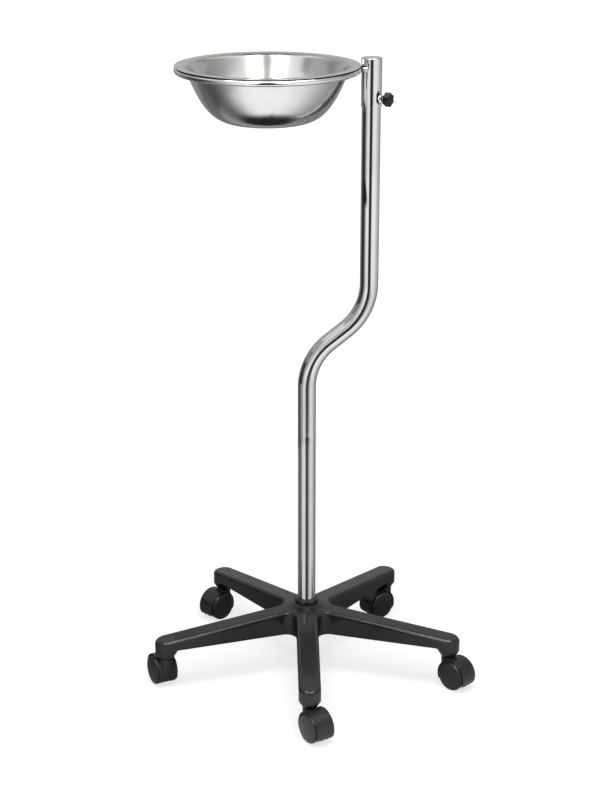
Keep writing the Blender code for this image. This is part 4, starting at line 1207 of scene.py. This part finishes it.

# Small dark cards near the stand that only reflections see; they paint shade into the reflections on the
# bowl, front arm and hub: (name, place, size, facing, and the rest of its fade from its own place)
SMALL_CARDS = (
    ("basin_card", (BOWL.x, BOWL.y - 0.05, 0.80), (0.30, 0.20), FACE_UP, ((1, 1.5, 0), 0.085, 0.135, 0.0)),
    ("arm_card", (HUB.x, HUB.y - 0.25, 0.45), (0.32, 0.32), FACE_DOWN, (FLAT, 0.08, 0.15, 0.0)),
    ("hub_card", (HUB.x, HUB.y - 0.01, 0.215), (0.18, 0.18), FACE_DOWN, (FLAT, 0.05, 0.085, 0.15)),
    ("top_card", (BOWL.x, BOWL.y, 1.6), (0.7, 0.7), FACE_DOWN, (FLAT, 0.18, 0.34, 0.14)),
    ("column_card", (HEAD.x - 0.024, HEAD.y, 0.83), (0.36, 0.030), FACE_LEFT, (FLAT, 0.5, 0.6, 0.22)),
)


def graded_gauze(name, lights, fade, one_sided):
    """Black gauze before the white background, thinner where bright metal meets more light."""
    centre, stretch, inner, outer, inner_light = fade
    material, tree = bare_material(name)
    where = split_vector(tree, scaled_vector(tree, (1, 1, 1), HUB_CENTRE))
    angle = math_node(tree, "ARCTAN2", where["X"], math_node(tree, "MULTIPLY", where["Y"], -1.0))
    ramp = add_node(tree, "ShaderNodeValToRGB")
    feed_inputs(tree, ramp, Fac=range_node(tree, angle, -math.pi, math.pi))
    stops = ramp.color_ramp.elements
    stops.remove(stops[1])
    for index, (degrees, light) in enumerate(lights):
        position = (degrees + 180) / 360
        stop = stops[0] if index == 0 else stops.new(position)
        stop.position = position
        stop.color = (light, light, light, 1)
    reach = vector_length(tree, scaled_vector(tree, stretch, centre))
    near = range_node(tree, reach, inner, outer, inner_light)
    clear = math_node(tree, "MULTIPLY", ramp.outputs["Color"], near)
    if one_sided:
        behind = add_node(tree, "ShaderNodeNewGeometry").outputs["Backfacing"]
        clear = math_node(tree, "MAXIMUM", clear, behind)
    dark = feed_inputs(tree, add_node(tree, "ShaderNodeEmission"), Strength=CARD_TONE)
    open_weave = add_node(tree, "ShaderNodeBsdfTransparent")
    mixed = add_node(tree, "ShaderNodeMixShader")
    for socket, source in zip(mixed.inputs, (clear, dark.outputs[0], open_weave.outputs[0])):
        feed(tree, socket, source)
    feed_inputs(tree, tree.nodes["Material Output"], Surface=mixed.outputs[0])
    return material


def round_card(low_radius, high_radius, low, high, middle=(0, 0)):
    """Flat ring, wall or leaning screen round a middle."""
    shape = bmesh.new()
    place = Matrix.Translation((*middle, (low + high) / 2))
    bmesh.ops.create_cone(shape, cap_ends=False, segments=CARD_FACETS, radius1=low_radius,
                          radius2=high_radius, depth=high - low, matrix=place)
    return shape


def hang_card(name, shape, lights, fade, one_sided):
    card = new_object(name, shape)
    card.data.materials.append(graded_gauze(name, lights, fade, one_sided))
    card.visible_camera = False
    card.visible_diffuse = False
    card.visible_shadow = False
    card.visible_transmission = False


def make_cards():
    """Graded cards on the floor, all round and overhead, which only bright metal and gloss see."""
    floors = (("near_floor_card", 0, NEAR_REACH, NEAR_FLOOR_LIGHT, UNDER_BASE_FADE),
              ("middle_floor_card", NEAR_REACH, MIDDLE_REACH, MIDDLE_FLOOR_LIGHT, NO_FADE),
              ("far_floor_card", MIDDLE_REACH, CARD_REACH, FAR_FLOOR_LIGHT, FAR_FLOOR_FADE))
    for name, inner, outer, lights, fade in floors:
        hang_card(name, round_card(inner, outer, CARD_LIFT, CARD_LIFT), lights, fade, False)
    walls = (("low_wall_card", 0, LOW_WALL_TOP, LOW_WALL_LIGHT),
             ("high_wall_card", LOW_WALL_TOP, CARD_HEIGHT, HIGH_WALL_LIGHT))
    for name, low, high, lights in walls:
        hang_card(name, round_card(CARD_REACH, CARD_REACH, low, high), lights, NO_FADE, False)
    ceilings = (("ceiling_card", 0, CEILING_REACH, CEILING_LIGHT),
                ("far_ceiling_card", CEILING_REACH, CARD_REACH, FAR_CEILING_LIGHT))
    for name, inner, outer, lights in ceilings:
        hang_card(name, round_card(inner, outer, CARD_HEIGHT, CARD_HEIGHT), lights, NO_FADE, False)
    screen = round_card(SCREEN_FOOT_RADIUS, SCREEN_TOP_RADIUS, SCREEN_BOTTOM, SCREEN_TOP, (HUB.x, HUB.y))
    bmesh.ops.reverse_faces(screen, faces=screen.faces)
    hang_card("column_screen", screen, SCREEN_LIGHT, NO_FADE, True)
    for name, place, size, facing, fade in SMALL_CARDS:
        hang_card(name, flat_card(place, size, facing), EVEN_LIGHT, (place, *fade), True)


# Soft boxes: (name, place, aim, width, length, power)
SOFT_BOXES = (
    ("left_soft_box", (-0.68, -1.75, 2.6), (-0.05, 0, 0.5), 0.60, 1.6, 21.5),
    ("right_soft_box", (0.65, -1.75, 2.6), (0.05, 0, 0.5), 0.60, 1.6, 21.5),
    ("top_soft_box", (0.0, -0.35, 2.9), (0, -0.35, 0.1), 2.4, 1.0, 62.0),
)
SHADED_BOX = "top_soft_box"   # kept off the basin, whose inside it would burn out


def keep_off(lamp, piece):
    """Keeps a lamp's light off one piece."""
    shaded = bpy.data.collections.new("shaded_from_" + lamp.name)
    shaded.objects.link(piece)
    shaded.collection_objects[0].light_linking.link_state = "EXCLUDE"
    lamp.light_linking.receiver_collection = shaded


def make_lights(basin):
    for name, place, aim, width, length, power in SOFT_BOXES:
        lamp = bpy.data.lights.new(name, "AREA")
        lamp.shape = "RECTANGLE"
        lamp.size = width
        lamp.size_y = length
        lamp.energy = power
        box = bpy.data.objects.new(name, lamp)
        bpy.context.scene.collection.objects.link(box)
        box.location = place
        box.rotation_euler = (Vector(aim) - Vector(place)).to_track_quat("-Z", "Y").to_euler()
        if name == SHADED_BOX:
            keep_off(box, basin)


# Camera
CAMERA_PLACE = (-0.0169, -2.80, 1.456)
CAMERA_DROP = 18.95        # degrees below level
CAMERA_LENS = 81.9         # millimetres, as the sensor
CAMERA_SENSOR = 36.0


def make_camera():
    view = bpy.data.cameras.new("photo_camera")
    view.lens = CAMERA_LENS
    view.sensor_width = CAMERA_SENSOR
    camera = bpy.data.objects.new("photo_camera", view)
    bpy.context.scene.collection.objects.link(camera)
    camera.location = CAMERA_PLACE
    camera.rotation_euler = (math.radians(90 - CAMERA_DROP), 0, 0)
    bpy.context.scene.camera = camera


make_camera()
make_base()
make_column()
make_collar()
make_casters()
make_sleeve()
make_ring()
make_weld()
basin_piece = make_basin()
make_nut()
make_stud()
make_knob()
dress_kept_nodes()
make_floor()
make_world()
make_cards()
make_lights(basin_piece)
bpy.context.scene.view_settings.view_transform = "Standard"
